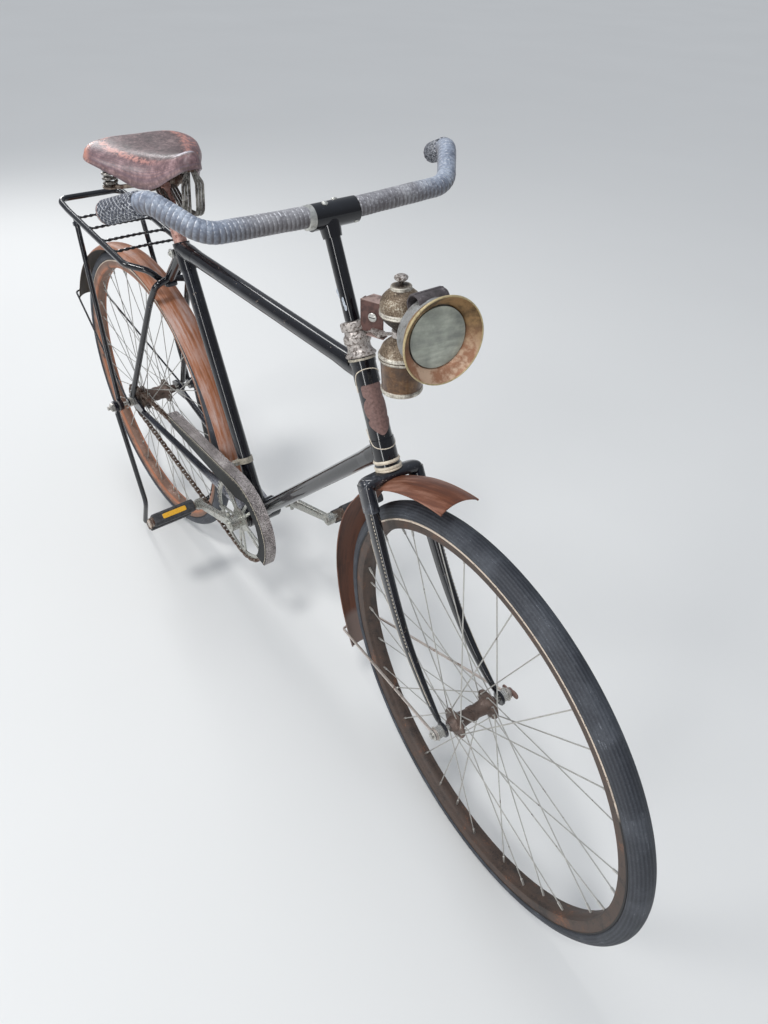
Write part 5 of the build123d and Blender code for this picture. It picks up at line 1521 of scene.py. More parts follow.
@dataclass
class Fork:
    """Crown and the two blades, with their lining."""

    reach: float = float((HEAD_BOTTOM - FRONT_AXLE) @ HEAD_UP)
    rake: float = float((FRONT_AXLE - HEAD_BOTTOM) @ HEAD_AHEAD)
    # Share of the reach, share of the rake, side offset, half size fore and aft, half size across
    stations: tuple = (
        (0.045, 0.0, 43.6, 15.0, 9.6), (0.20, 0.004, 45.2, 14.8, 9.5), (0.35, 0.032, 46.8, 14.0, 9.1),
        (0.52, 0.100, 48.6, 12.3, 8.5), (0.68, 0.240, 50.4, 10.2, 7.6), (0.81, 0.470, 52.0, 8.0, 6.7),
        (0.911, 0.714, 53.5, 6.5, 5.6), (0.970, 0.905, 54.5, 5.2, 3.8))

    def centreline(self, side: int, count: int) -> tuple[Array, Array, Array]:
        """Middle line of a blade with its two half sizes.

        Args:
            side: -1 for the right blade, 1 for the left.
            count: Number of samples.

        Returns:
            Points, half sizes fore and aft, half sizes across.
        """
        t = smooth_through(self.stations, count)
        points = HEAD_BOTTOM - HEAD_UP * (t[:, :1] * self.reach) + HEAD_AHEAD * (t[:, 1:2] * self.rake)
        return points + LEFT * side * t[:, 2:3], t[:, 3:4], t[:, 4:5]

    def skin(self, side: int, count: int, angles: Array, lift: float = 0.0) -> Array:
        """Points on a blade: each section is a superellipse across the middle line.

        Args:
            side: -1 for the right blade, 1 for the left.
            count: Sections along the blade.
            angles: Angles round it, 0 ahead and a quarter turn outwards.
            lift: How far off the surface.

        Returns:
            Array of (count, angles, 3).
        """
        middle, deep, wide = self.centreline(side, count)
        along = unit(np.gradient(middle, axis=0))
        out = unit(LEFT * side - along * (along @ (LEFT * side))[:, None])
        ahead = np.cross(out, along) * side
        c, s = np.cos(angles)[None, :], np.sin(angles)[None, :]
        x = swelled(c, 0.86) * (deep + lift)
        y = swelled(s, 0.86) * (wide + lift)
        ahead = ahead * np.sign(ahead @ HEAD_AHEAD)[:, None]
        return middle[:, None] + x[..., None] * ahead[:, None] + y[..., None] * out[:, None]

    def crown(self) -> Iterator[Surface]:
        """Cast crown: a bar across the head, deepest in its middle, tallest near its rounded ends.

        Returns:
            The bar, its neck and two cuffs.
        """
        y = np.linspace(-1, 1, 61)[:, None]
        half = 54.0
        ends = np.clip(1 - np.abs(y) ** 9, 0, 1) ** 0.5
        drop = 15.0 + 5.5 * np.abs(y) ** 2.2
        tall = (8.5 + 3.0 * np.abs(y) ** 3) * ends + 0.3
        deep = (18.5 - 3.2 * np.abs(y) ** 1.2) * ends + 0.3
        a = circle(36)[None, :]
        c, s = np.cos(a), np.sin(a)
        x = swelled(c, 0.8) * deep
        z = swelled(s, 0.8) * tall
        points = HEAD_BOTTOM + x[..., None] * HEAD_AHEAD + (z - drop)[..., None] * HEAD_UP
        points = points + (y * half)[..., None] * LEFT
        yield Surface(points)
        yield turned(HEAD_BOTTOM, HEAD_UP, [(-24, 10), (-24, 14), (-8, 17.5), (-7.6, 12)], 40)
        for side in (-1, 1):
            yield Surface(self.skin(side, 60, circle(40), 1.3)[:7])

    def ends(self) -> Iterator[Surface]:
        """Fork ends: a thin round plate with its neck on each side of the hub.

        Returns:
            The plates and necks.
        """
        for side in (-1, 1):
            out = LEFT * side
            yield turned(FRONT_AXLE + out * 52, out, [(0, 11.6), (0.8, 12.5), (4.2, 12.5), (5.0, 11.6)], 32)
            middle, _, _ = self.centreline(side, 60)
            neck = np.stack([middle[-4], middle[-1], FRONT_AXLE + out * 54.5])
            yield tube(smooth_through(neck, 10), np.linspace(4.6, 6.5, 10), 14, LEFT, 0.55)

    def lining(self) -> Iterator[Surface]:
        """Dashed cream line down each blade, a plain one below it and the small frame near the top.

        Returns:
            The lines.
        """
        for side in (-1, 1):
            for angle, start, stop, dashed in (
                (math.pi / 4, 26, 178, True), (2.3, 60, 236, False), (math.pi / 4, 182, 262, False),
            ):
                line = self.skin(side, 300, np.array([angle]), 0.15)[:, 0]
                for run in [line[i:i + 3] for i in range(start, stop, 4)] if dashed else [line[start:stop]]:
                    yield tube(run, 0.6 if dashed else 0.45, 5, LEFT)
            for band in self.skin(side, 300, circle(48), 0.3)[[16, 25]]:
                yield tube(band, 0.5, 5, HEAD_UP, closed=True)

    def build(self) -> None:
        """Adds the fork's pieces."""
        for side, name in ((-1, "right"), (1, "left")):
            blade = Surface(self.skin(side, 90, circle(40)))
            add_piece(f"blade_{name}", [blade], Seat.FORK, BLACK, [f"fork_blade_{name}"])
        add_piece("crown_casting", self.crown(), Seat.FORK, CROWN_DUST_AND_SHEEN, ["fork_crown"])
        add_piece("fork_end_plates", self.ends(), Seat.FORK, BLACK)
        add_piece("blade_lining", self.lining(), Seat.FORK, CREAM)


@dataclass
class Lamp:
    """Carbide lamp: generator, bell with its glass, hood and bracket."""

    foot: Array = field(default_factory=lambda: FRONT_AXLE + xyz(-225.0, 0, 472.0))
    rise: tuple = (-10.4, 0, 157.6)
    rim_offset: tuple = (81.2, 0, 109.2)
    pitch: float = 5.5
    yaw: float = -5.5
    # Height above the foot and radius
    can: tuple = ((0, 25), (0.6, 27.6), (2.5, 28.4), (5.6, 28.4), (6.6, 27.6), (7.4, 26.9), (20, 27.2),
                  (45.5, 28.0), (46.6, 29.4), (48, 30.6), (49.6, 30.9), (51, 30.0), (52.2, 30.7), (54, 30.9),
                  (55.4, 30.2), (56.6, 29.0), (58, 28.4), (62, 26.8), (66, 24.8), (70, 20.4), (74, 14.8),
                  (76.4, 10.2), (78, 9.4), (87, 9.4), (89, 10.8), (92, 14.2), (96, 18.6), (100, 22.4), (104, 25.2),
                  (107.4, 26.8), (108.4, 28.0), (109.6, 28.4), (111, 27.6), (112, 28.3), (113.4, 28.2),
                  (114.6, 27.2), (120, 27.3), (126, 26.4), (130.5, 24.2), (134, 21.2), (137, 17.8), (140, 13.9),
                  (142, 13.2), (143.4, 13.6), (144.6, 12.8), (145.2, 8.0), (146, 4.6), (147, 3.0), (151.6, 3.0))
    knob: tuple = ((151.2, 3.0), (151.6, 7.0), (152.6, 7.9), (154.4, 8.6), (156, 8.0), (157.6, 5.8), (158, 2.0))

    @property
    def up(self) -> Array:
        """Direction of the generator's axis."""
        return unit(self.rise)

    def beam(self) -> tuple[Array, Array]:
        """The rim's centre and the direction of the beam.

        Returns:
            The rim's middle and the beam's direction.
        """
        p, y = math.radians(self.pitch), math.radians(self.yaw)
        beam = xyz(math.cos(p) * math.cos(y), math.cos(p) * math.sin(y), math.sin(p))
        return self.foot + self.rim_offset, beam

    def bell(self) -> Surface:
        """Shell of the bell: outside from the chamber to the rolled rim, then back down the inside.

        Returns:
            The bell.
        """
        centre, beam = self.beam()
        wall = [(-12, 41), (-16, 39.5), (-19, 38.8), (-19, 44.6), (-14, 46.6), (-9, 49.8), (-5, 52.4), (-2.6, 54.0),
                (-1.2, 55.0), (0.4, 54.8), (0.6, 53.9), (-0.4, 53.2), (-2.6, 51.6), (-5.6, 48.6), (-9, 44.4)]
        return turned(centre, beam, wall, 96, ring=True)

    def chamber(self) -> list[Surface]:
        """Burner chamber behind the bell, with its beads and the neck that meets the generator.

        Returns:
            The chamber.
        """
        centre, beam = self.beam()
        profile = [(-18.5, 40), (-18.4, 44.2), (-22, 45.2), (-24, 44.2), (-26, 44.8), (-36, 43.8), (-38, 41.6),
                   (-46, 34), (-56, 24), (-60, 20)]
        return [turned(centre, beam, profile, 72)]

    def glass(self) -> Surface:
        """Slightly domed disc.

        Returns:
            The disc.
        """
        centre, beam = self.beam()
        r = np.linspace(38.3, 2.0, 12)
        return turned(centre - beam * 13.4, beam, [(-2.2, 38.3), *zip(2.6 * (1 - (r / 38.3) ** 2), r)], 72)

    def hood(self) -> list[Surface]:
        """Vent hood: an open tube across the top whose wall folds in at both ends, with its seam and core.

        Returns:
            The wall, its seam and its core.
        """
        centre, beam = self.beam()
        left = unit(np.cross(UP, beam))
        up = np.cross(beam, left)
        side = unit(left - beam * 0.105)
        middle = centre - beam * 38.0 + up * 35.0 + left * 1.5
        wall = [(-22, 12.6), (-22, 14.2), (-20.4, 15.0), (20.4, 15.0), (22, 14.2), (22, 12.6), (19, 12.2), (9, 12.0),
                (-9, 12.0), (-19, 12.2)]
        tube_wall = turned(middle, side, wall, 40, ring=True, ripple=lambda h, a: 0.25 * np.cos(6 * a))
        seam = straight(middle - side * 21 + up * 14.6, middle + side * 21 + up * 14.6, 0.9, 8)
        core = turned(middle - side * 8, side, [(0, 12.4), (16, 12.4)], 24)
        return [tube_wall, seam, core]

    def bracket(self) -> tuple[list[Surface], ...]:
        """Upright plate with folded lips, its arms and its screw.

        Returns:
            Grids of the plate, its lips, the arms, the screw and the screw's groove.
        """
        at = self.foot + xyz(-89.0, 10.0, 66.0)
        yaw = math.radians(26)
        ex, ey = xyz(math.cos(yaw), math.sin(yaw), 0), xyz(-math.sin(yaw), math.cos(yaw), 0)

        def flat(corners: Table, rise: Array) -> Surface:
            """Sheet over corners given along ex, ey and up, as thick as the rise."""
            outline = np.array([at + ex * x + ey * y + UP * z for x, y, z in corners])
            return prism(outline, np.zeros(3), rise, 0.4)

        face = [(-18, -2, -24), (18, -2, -24), (18, -2, 6), (20, -2, 14), (18, -2, 22), (-18, -2, 22)]
        plate = [flat(face, ey * 2.4)]
        lips = [flat([(-18, -2, 20.5), (20, -2, 20.5), (26, 20, 20.5), (-10, 20, 20.5)], UP * 2.2)]
        lips.append(flat([(-4, -10, -25), (24, -10, -25), (24, 1, -25), (-4, 1, -25)], UP * 1.8))
        plate.append(flat([(-18, -2, -24), (-18, -2, 22), (-18, 10, 22), (-18, 10, -24)], ex * 2.2))
        arms = []
        ring = HEAD_TOP + HEAD_UP * 44.5
        neck = self.foot + self.up * 82.0
        for a, b, tall in ((ring + xyz(10, 12, 0), at - UP * 22, 5.5), (at - UP * 22, neck, 5.0)):
            bow = np.stack([a, a * 0.5 + b * 0.5 - UP * 3, b])
            arms.append(tube(smooth_through(bow, 14), tall, 12, UP, 0.42))
        arms.append(turned(neck - self.up * 5, self.up, [(0, 10.0), (0.8, 12.4), (9.2, 12.4), (10, 10.0)], 40))
        arms.append(bead(at + ex * 12 + ey * -4 - UP * 19, (11, 7, 3.4), 10, 20, 5))
        head = at + ex * 2 - ey * 2
        screw = [turned(head, -ey, [(0, 6.4), (1.6, 6.6), (2.6, 5.2), (3.0, 2.0)], 24)]
        groove = [straight(head - ey * 2.7 - ex * 4.6, head - ey * 2.7 + ex * 4.6, 0.75, 6)]
        return plate, lips, arms, screw, groove

    def build(self) -> None:
        """Adds the lamp's pieces."""
        can = turned(self.foot, self.up, self.can, 64)
        foot, above = Seat.LAMP.place(np.stack([self.foot, self.foot + self.up * 1000.0]))
        nickel = LampBody(tuple(float(v) for v in foot), tuple(float(v) for v in above - foot))
        add_piece("generator_can", [can], Seat.LAMP, nickel, ["lamp_generator"])
        knob = turned(self.foot, self.up, self.knob, 60,
                      ripple=lambda h, a: 0.4 * np.cos(18 * a) * (h > 152) * (h < 157))
        add_piece("generator_knob", [knob], Seat.LAMP, PITTED)
        add_piece("lamp_bell", [self.bell()], Seat.LAMP, BellInside(), ["lamp_head"], 60)
        add_piece("lamp_chamber", self.chamber(), Seat.LAMP, SHELL)
        add_piece("lamp_front_glass", [self.glass()], Seat.LAMP, DustyGlass(), ["lamp_glass"])
        centre, beam = self.beam()
        edge = [(0.7, 53.4), (1.5, 54.0), (1.2, 55.0), (-0.6, 55.5), (-2.0, 55.0), (-0.6, 53.8)]
        ring = turned(centre, beam, edge, 96, ring=True)
        add_piece("lamp_rim", [ring], Seat.LAMP, Plain("rim_brass", srgb(196, 178, 136), 0.4, 0.3, 0.35))
        add_piece("lamp_hood", self.hood(), Seat.LAMP, DARK_HOOD)
        plate, lips, arms, screw, groove = self.bracket()
        add_piece("bracket_plate", plate, Seat.LAMP, PLATE_RUST, ["lamp_bracket"])
        add_piece("bracket_lips", lips, Seat.LAMP, PINK_RUST)
        add_piece("bracket_groove", groove, Seat.LAMP, DARK_SLOT)
        add_piece("bracket_arms", arms, Seat.LAMP, PITTED)
        add_piece("bracket_screw", screw, Seat.LAMP, SCREW)


@dataclass
class Drive:
    """Chain links, cotters, nuts, guard lining and the pedals' detail."""

    pitch: float = 12.7
    ring_teeth: int = 46
    cog_teeth: int = 18
    links: int = 116
    y: float = -48.5
    crank_length: float = 165.0
    crank_deg: float = 199.0
    arm_y: float = 68.0

    def radius(self, teeth: int) -> float:
        """Pitch radius of a wheel with this many teeth."""
        return self.pitch / (2 * math.sin(math.pi / teeth))

    def loop(self, count: int) -> tuple[Array, Array]:
        """Evenly spaced points and directions on the chain's pitch line: arc, run, arc and run.

        Args:
            count: Number of points.

        Returns:
            Points and unit tangents in the wheels' plane.
        """
        ring, cog = self.radius(self.ring_teeth), self.radius(self.cog_teeth)
        gap = float(np.linalg.norm(BRACKET))
        tilt, lean = math.atan2(BRACKET[2], BRACKET[0]), math.asin((ring - cog) / gap)
        top, low = tilt + math.pi / 2 + lean, tilt - math.pi / 2 - lean
        a, b = np.linspace(top, low, 200), np.linspace(low, top - 2 * math.pi, 120)
        front = BRACKET + ring * in_wheel(a)
        rear = cog * in_wheel(b)
        line = np.vstack([front, rear, front[:1]])
        points, _ = spaced(line, lambda whole: np.arange(count) / count * whole)
        return points + LEFT * self.y, unit(np.roll(points, -1, 0) - points)

    def chain(self) -> Iterator[Surface]:
        """Roller chain: a roller at each pin and waisted plates, inner and outer by turns, all from one outline.

        Returns:
            Plates, rollers and pins.
        """
        pins, ahead = self.loop(self.links)
        length = float(np.linalg.norm(pins[1] - pins[0]))
        t = circle(14)
        x = np.cos(t) * (length / 2 + 3.9) + length / 2
        z = np.sin(t) * 4.3 * (1 - 0.22 * np.exp(-(((x - length / 2) / 3.0) ** 2)))
        for i, (pin, along) in enumerate(zip(pins, ahead)):
            outline = pin + x[:, None] * along + z[:, None] * xyz(-along[2], 0, along[0])
            for way in (-1, 1):
                y = way * (3.5 if i % 2 else 2.5)
                yield prism(outline, LEFT * y, LEFT * way * 0.9)
            yield straight(pin - LEFT * 2.4, pin + LEFT * 2.4, 3.7, 8)
            yield straight(pin - LEFT * 4.9, pin + LEFT * 4.9, 1.7, 6)

    def tip(self, side: int) -> Array:
        """Centre of a pedal's eye."""
        a = math.radians(self.crank_deg if side < 0 else self.crank_deg + 180)
        return BRACKET + xyz(self.crank_length * math.cos(a), side * self.arm_y, self.crank_length * math.sin(a))

    def crank_fittings(self) -> Iterator[Surface]:
        """Cotter pins with their nuts, the dust caps of the axle and a washer at each pedal.

        Returns:
            The fittings.
        """
        for side in (-1, 1):
            out, eye = LEFT * side, self.tip(side)
            hub = BRACKET + out * self.arm_y
            way = unit(eye - hub)
            through = np.cross(way, LEFT)
            pin = hub + way * 12
            yield straight(pin - through * 21, pin + through * 19, 4.0, 14)
            yield hexagon(pin + through * 14, through, 6.6, 5)
            yield turned(hub + out * 9, out, [(0, 9.5), (1.5, 9.5), (3.0, 8.0), (3.6, 3.0)], 28)
            yield turned(eye + out * 6.9, out, [(0, 8.4), (0.6, 9.2), (3.4, 9.2), (4.0, 8.0)], 24)

    def pedal(self, side: int) -> tuple[list[Surface], list[Surface], list[Surface], list[Surface]]:
        """One pedal: two ribbed rubber blocks, their plates and sleeve, reflectors and the end cap.

        Args:
            side: -1 for the right pedal, 1 for the left.

        Returns:
            Grids of the rubber, the metal, the reflectors and the cap.
        """
        eye, out = self.tip(side), LEFT * side
        turn = math.radians(48.0)
        fore = xyz(math.cos(turn), 0, math.sin(turn))
        over = xyz(-math.sin(turn), 0, math.cos(turn))
        start = eye * xyz(1, 0, 1) + out * (self.arm_y + 19)
        rubber, metal, amber = [], [], []
        a = circle(72)
        y = np.concatenate([[3.2, 3.6], np.linspace(5, 95, 24), [96.4, 96.8]])
        size = np.concatenate([[0.9, 0.97], np.ones(24), [0.97, 0.9]])[:, None]
        bx, bz = swelled(np.cos(a), 0.45) * 12.0, swelled(np.sin(a), 0.45) * 13.6
        for way in (-1, 1):
            groove = 1 - 0.11 * (0.5 - 0.5 * np.cos(bz / 13.6 * np.pi * 3.5)) * np.clip(way * bx / 8, 0, 1)
            points = start + (way * 22 + size * (bx * groove)[None, :])[..., None] * fore
            points = points + (size * bz[None, :])[..., None] * over + (side * y[:, None, None]) * LEFT
            rubber.append(Surface(points))
            amber.append(self._lens(start + fore * way * 34.2, fore * way, over, side))
        for y0 in (0.6, 96.6):
            t = a[::2, None]
            outline = start + fore * 31 * swelled(np.cos(t), 0.5) + over * 10.5 * swelled(np.sin(t), 0.5)
            metal.append(prism(outline, out * y0, out * 2.8, 0.5))
        sleeve = [(2, 7.0), (3, 9.0), (30, 8.4), (70, 8.0), (96, 8.8), (98, 7.0)]
        metal.append(turned(start, out, sleeve, 28))
        cap = turned(start + out * 99.4, out, [(0, 9.6), (1, 10.2), (2.6, 10.2), (3.4, 6)], 6)
        return rubber, metal, amber, [cap]

    def _lens(self, at: Array, out: Array, over: Array, side: int) -> Surface:
        """Flat reflector let into a block's outer face.

        Args:
            at: Middle of the face at the crank's end.
            out: Direction that it faces.
            over: Direction across it.
            side: -1 for the right, 1 for the left.

        Returns:
            The reflector.
        """
        t = circle(28)
        long = swelled(np.cos(t), 0.2) * 27.0
        high = swelled(np.sin(t), 0.2) * 5.4
        outline = at - out * 1.2 + LEFT * side * 50 + long[:, None] * LEFT + high[:, None] * over
        return prism(outline, np.zeros(3), out * 1.4, 0.4)

    def guard_lining(self) -> Iterator[Surface]:
        """Thin line just inside the guard's outer edge and a row of small dots below it.

        Returns:
            The line and the dots.
        """
        radius = self.radius(self.ring_teeth) + 20.0
        a = np.radians(np.linspace(92, -26, 90))
        arc = BRACKET + (radius - 4) * in_wheel(a)
        tail = xyz(200.0, 0, 62.0)
        line = np.vstack([tail, tail * 0.5 + arc[0] * 0.5, arc]) + LEFT * -56.3
        yield tube(line, 0.45, 5, LEFT)
        share = np.linspace(0.02, 0.98, 34)[:, None]
        dots = np.vstack([tail * (1 - share) + arc[0] * share, arc[::4]]) + LEFT * -56.15
        dots = dots - UP * 5.0
        yield from [turned(dot, -LEFT, [(0, 0.9), (0.35, 0.7)], 8) for dot in dots]

    def build(self) -> None:
        """Adds the drive's pieces."""
        add_piece("roller_chain", self.chain(), Seat.FRAME, STEEL, ["chain"])
        add_piece("crank_fittings", self.crank_fittings(), Seat.CRANK, NICKEL)
        add_piece("guard_lining", self.guard_lining(), Seat.FRAME, CREAM)
        for side, seat, name in ((-1, Seat.PEDAL_RIGHT, "right"), (1, Seat.PEDAL_LEFT, "left")):
            rubber, metal, amber, cap = self.pedal(side)
            add_piece(f"pedal_rubbers_{name}", rubber, seat, PEDAL, [f"pedal_{name}"], 50)
            add_piece(f"pedal_plates_{name}", metal, seat, STEEL)
            add_piece(f"pedal_reflectors_{name}", amber, seat, AMBER)
            add_piece(f"pedal_cap_{name}", cap, seat, PALE_CAP)


@dataclass
class Body:
    """Small pieces on the frame: rack rods, bolts, washers, mudguard beads and clips."""

    rack_half: float = 73.0
    rack_middle: float = 404.6
    rack_slope: float = -0.086
    rod_x: tuple = (-104.0, -43.0, 24.0, 79.0)

    def rack_point(self, x: float, side: float) -> Array:
        """Point on a side rail."""
        return xyz(x, side * self.rack_half, self.rack_middle + self.rack_slope * x)

    def twisted_rods(self) -> Iterator[Surface]:
        """Cross rods of twisted square wire: a four-lobed section turned steadily along the rod.

        Returns:
            The rods and their ends.
        """
        for x in self.rod_x:
            y = np.linspace(-1, 1, 120)[:, None]
            path = self.rack_point(x, 0) + y * LEFT * (self.rack_half - 4.5)
            path[:, 2] += 1.2 * (1 - y[:, 0] ** 2)
            a = np.arange(12)[None, :] / 12
            r = 2.7 + 0.75 * wave(2 * a + y * 5.2)
            yield tube(path, r, 12, UP)
            for side in (-1, 1):
                yield bead(self.rack_point(x, side * 0.945), (5.4, 4.0, 5.4), 8, 14, 3)

    def rack_fittings(self) -> Iterator[Surface]:
        """Flattened lugs with bolts at the leg tops, the nose clip and the foot nuts.

        Returns:
            The fittings.
        """
        for side in (-1, 1):
            out = LEFT * side
            top, foot = self.rack_point(-110, side), xyz(-8.0, side * 92, 8.0)
            down = unit(foot - top)
            yield tube(top + down * np.linspace(4, 40, 10)[:, None], np.linspace(7.5, 5.8, 10), 14, LEFT, 0.75)
            yield turned(top + down * 13 + out * 3, out, [(0, 5.0), (4, 5.0), (5.2, 3.6)], 16)
            yield turned(foot * LEFT + out * 4, out, [(0, 14.0), (1.4, 14.0), (1.8, 12.0)], 28)
        yield bead((178, 0, 353), (12, 13, 5), 10, 20, 5)

    def axle_ends(self, centre: Array, spots: Sequence[tuple[float, float]], seat: Seat, name: str) -> None:
        """Washers on both sides of an axle.

        Args:
            centre: Middle of the axle.
            spots: Side offset and radius of each washer.
            seat: The body.
            name: Name of the piece.
        """
        pieces = []
        for side in (-1, 1):
            for y, r in spots:
                profile = [(0, r - 0.5), (0.3, r), (1.3, r), (1.6, r - 0.5)]
                pieces.append(turned(centre + LEFT * side * y, LEFT * side, profile, 28))
        add_piece(name, pieces, seat, BRIGHT)

    def seat_fittings(self) -> Iterator[Surface]:
        """Binder bolt of the seat lug and the clip's screw.

        Returns:
            The fittings.
        """
        at = SEAT_CLUSTER - SEAT_TUBE_UP * 3 + SEAT_TUBE_BACK * 22
        yield from [hexagon(at + LEFT * y, LEFT, 8.4, 5.5) for y in (13.2, -18.7)]
        yield turned(at - LEFT * 22, LEFT, [(0, 2.6), (0.6, 3.6), (44, 3.6), (44.6, 2.6)], 14)
        clip = BRACKET + (SEAT_CLUSTER - BRACKET) * 0.215
        yield hexagon(clip - LEFT * 31.5, LEFT, 5.0, 4.5)
        yield straight(clip + xyz(7, -24, 0), clip + xyz(-8, -24, 0), 2.4, 10)

    def beads(
        self, centre: Array, crest: float, drop: float, half: float, span: tuple[float, float],
    ) -> list[Surface]:
        """Rolled edges of a mudguard: a thin bar along each side.

        Args:
            centre: Centre of the strip's curve.
            crest: Radius of its crest.
            drop: Depth of its section.
            half: Half of its width.
            span: First and last angle in degrees.

        Returns:
            The bars.
        """
        a = np.radians(np.linspace(span[0], span[1], 110))
        ring = in_wheel(a)
        return [tube(centre + (crest - drop - 0.6) * ring + LEFT * side * (half - 0.6), 1.5, 8, LEFT)
                for side in (-1, 1)]

    def build(self, nodes: dict) -> None:
        """Adds the small pieces and dresses the frame's CAD nodes.

        Args:
            nodes: CAD nodes by name.
        """
        add_piece("rack_twisted_rods", self.twisted_rods(), Seat.FRAME, BLACK, ["rack_rods"])
        add_piece("rack_lugs", self.rack_fittings(), Seat.FRAME, WORN_BLACK)
        self.axle_ends(np.zeros(3), ((68.7, 12.0), (97.4, 13.0), (116.8, 7.0)), Seat.FRAME, "rear_washers")
        self.axle_ends(FRONT_AXLE, ((67.2, 11.5), (72.6, 9.0)), Seat.FORK, "front_washers")
        far = FRONT_AXLE + LEFT * 76.5
        wings = [bead(far + HEAD_AHEAD * way * 11.5, (8.0, 2.6, 6.0), 10, 16, 2.6) for way in (-1, 1)]
        wings.append(turned(far - LEFT * 3.4, LEFT, [(0, 7.4), (1, 8.2), (5.5, 7.0), (6.4, 5.6)], 24))
        add_piece("wing_nut_left", wings, Seat.FORK, WING_RUST)
        add_piece("seat_bolts", self.seat_fittings(), Seat.FRAME, SCREW)
        rear = self.beads(xyz(0, 0, -50.0), 411.0, 11.0, 28.0, (4, 154))
        add_piece("rear_guard_beads", rear, Seat.FRAME, REAR_GUARD)
        front = self.beads(FRONT_AXLE, 392.0, 9.0, 30.0, (101.5, 209))
        add_piece("front_guard_beads", front, Seat.FORK, FRONT_GUARD)
        dress(nodes, BLACK, "head_tube", "top_tube", "down_tube", "seat_tube", "bottom_bracket", "seat_stays",
              "rear_mudguard_stays", "rack_frame", "rear_stand")
        dress(nodes, STAY_BLACK, "chain_stays")
        dress(nodes, STAY_WIRE, "front_mudguard_stays")
        dress(nodes, PILLAR, "seat_pillar")
        dress(nodes, GLOSS_BLACK, "handlebar_stem")
        dress(nodes, NICKEL, "chainring", "crank_arms")
        dress(nodes, BRIGHT, "front_axle", "rear_axle")
        dress(nodes, STEEL, "rear_sprocket")
        dress(nodes, BAND, "seat_tube_clip")
        dress(nodes, FlangePaint(), "chain_guard")
        dress(nodes, REAR_GUARD, "rear_mudguard")
        dress(nodes, FRONT_GUARD, "front_mudguard")


def packed_xz(x: float, z: float, seat: Seat) -> tuple[float, float]:
    """Packed x and z of a point in the level frame."""
    p = seat.place(xyz(x, 0.0, z))
    return float(p[0]), float(p[2])


REAR_GUARD = GuardPaint("rear_guard_paint", packed_xz(0, -50, Seat.FRAME), 0.411, srgb(156, 96, 60), srgb(92, 56, 36),
                        srgb(184, 156, 146))
FRONT_GUARD = GuardPaint("front_guard_paint", packed_xz(WHEELBASE, 0, Seat.FORK), 0.392, srgb(116, 66, 42),
                         srgb(70, 40, 30), srgb(160, 116, 96), srgb(104, 64, 46), tipped=1.0)


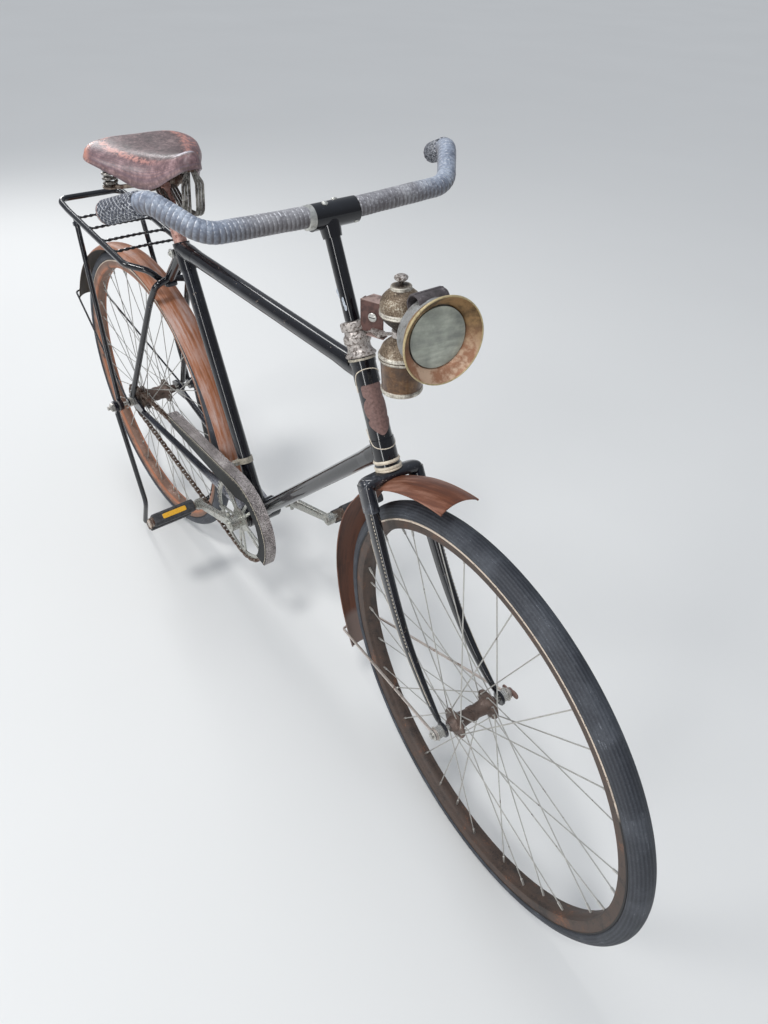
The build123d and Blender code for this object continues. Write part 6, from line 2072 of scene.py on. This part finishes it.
class Studio:
    """Floor, light and the camera at the photograph's viewpoint."""

    def floor(self) -> None:
        """Wide pale plane under the wheels."""
        mesh = bpy.data.meshes.new("floor")
        mesh.from_pydata([(-40, -40, 0), (40, -40, 0), (40, 40, 0), (-40, 40, 0)], [], [(0, 1, 2, 3)])
        mesh.materials.append(FLOOR.material())
        plane = bpy.data.objects.new("floor", mesh)
        bpy.context.scene.collection.objects.link(plane)

    def light(self) -> None:
        """Soft sky that is brighter overhead, a wide sun, a panel and two strips for the streaks on the tubes."""
        sky = Graph(bpy.data.worlds.new("studio_sky"), "Generated")
        _, _, height = sky.axes()
        colour = sky.ramp(height, (0.0, (0.42, 0.43, 0.45)), (0.3, (0.46, 0.48, 0.52)), (1.0, (0.80, 0.88, 1.0)))
        back = sky.wire("ShaderNodeBackground", {}, {"Color": colour, "Strength": 0.56})
        sky.node("ShaderNodeOutputWorld", {}, {"Surface": back})
        bpy.context.scene.world = sky.owner
        self.lamp("SUN", "key", (0.9, -1.6, 4.5), 1.0, angle=math.radians(9))
        self.lamp("AREA", "panel", (-0.5, -2.9, 2.5), 44.0, size=1.1)
        self.lamp("AREA", "overhead_strip", (-2.0, 0.2, 2.6), 34.0, shape="RECTANGLE", size=0.35, size_y=4.4)
        self.lamp("AREA", "standing_strip", (1.7, -2.4, 0.8), 17.0, shape="RECTANGLE", size=0.3, size_y=2.2)

    def lamp(self, kind: str, name: str, at: Sequence[float], energy: float, **settings: float) -> None:
        """One light aimed at the middle of the bicycle.

        Args:
            kind: Type of the light.
            name: Its name.
            at: Where it stands.
            energy: Its power.
            **settings: Its other properties.
        """
        data = bpy.data.lights.new(name, kind)
        data.energy = energy
        for key, value in settings.items():
            setattr(data, key, value)
        obj = bpy.data.objects.new(name, data)
        obj.location = at
        obj.visible_camera = False
        obj.rotation_mode = "QUATERNION"
        obj.rotation_quaternion = (Vector((0.0, 0.0, 0.5)) - Vector(at)).to_track_quat("-Z", "Y")
        bpy.context.scene.collection.objects.link(obj)

    def camera(self) -> None:
        """Camera solved from the bicycle's own sizes: place, forward and up directions, lens and shift."""
        data = bpy.data.cameras.new("camera")
        data.sensor_width, data.lens = 36.0, 25.886
        data.shift_x, data.shift_y = 0.009966, -0.01476
        data.clip_start, data.clip_end = 0.01, 200.0
        forward = Vector((-0.5997517, 0.5006381, -0.6242270)).normalized()
        up = Vector((-0.5090136, 0.3632253, 0.7803670)).normalized()
        right = forward.cross(up).normalized()
        up = right.cross(forward)
        turn = Matrix((right, up, -forward)).transposed()
        obj = bpy.data.objects.new("camera", data)
        obj.matrix_world = Matrix.Translation((0.994034, -0.600911, 1.332119)) @ turn.to_4x4()
        bpy.context.scene.collection.objects.link(obj)
        bpy.context.scene.camera = obj

    def build(self) -> None:
        """Sets the stage."""
        self.floor()
        self.light()
        self.camera()
        bpy.context.scene.view_settings.view_transform = "Standard"


def main() -> None:
    """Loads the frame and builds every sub-assembly."""
    logging.basicConfig(level=logging.INFO, format="%(message)s")
    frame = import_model()
    Studio().build()
    rear_rim = Blotched("rim_enamel", srgb(80, 62, 52), srgb(126, 96, 80), srgb(176, 154, 146),
                        edge=srgb(172, 112, 82))
    front_rim = Blotched("front_rim_enamel", srgb(44, 38, 35), srgb(76, 62, 54), srgb(126, 84, 60))
    brown_hub = Blotched("hub_brown", srgb(52, 44, 40), srgb(98, 82, 74), srgb(152, 134, 124), 60.0, 0.3, 0.4)
    Wheel(Seat.REAR_WHEEL, "rear", np.zeros(3), 349.5, 40, 28.0, 24.0, 17.0, 50.0, rear_rim, brown_hub).build()
    Wheel(Seat.FRONT_WHEEL, "front", FRONT_AXLE, 355.0, 32, 32.0, 20.0, 12.5, 44.0, front_rim, brown_hub).build()
    Saddle().build()
    Handlebar().build()
    Headset().build()
    Fork().build()
    Lamp().build()
    Drive().build()
    Body().build(frame["nodes"])
    bpy.context.view_layer.update()


if __name__ == "__main__":
    main()
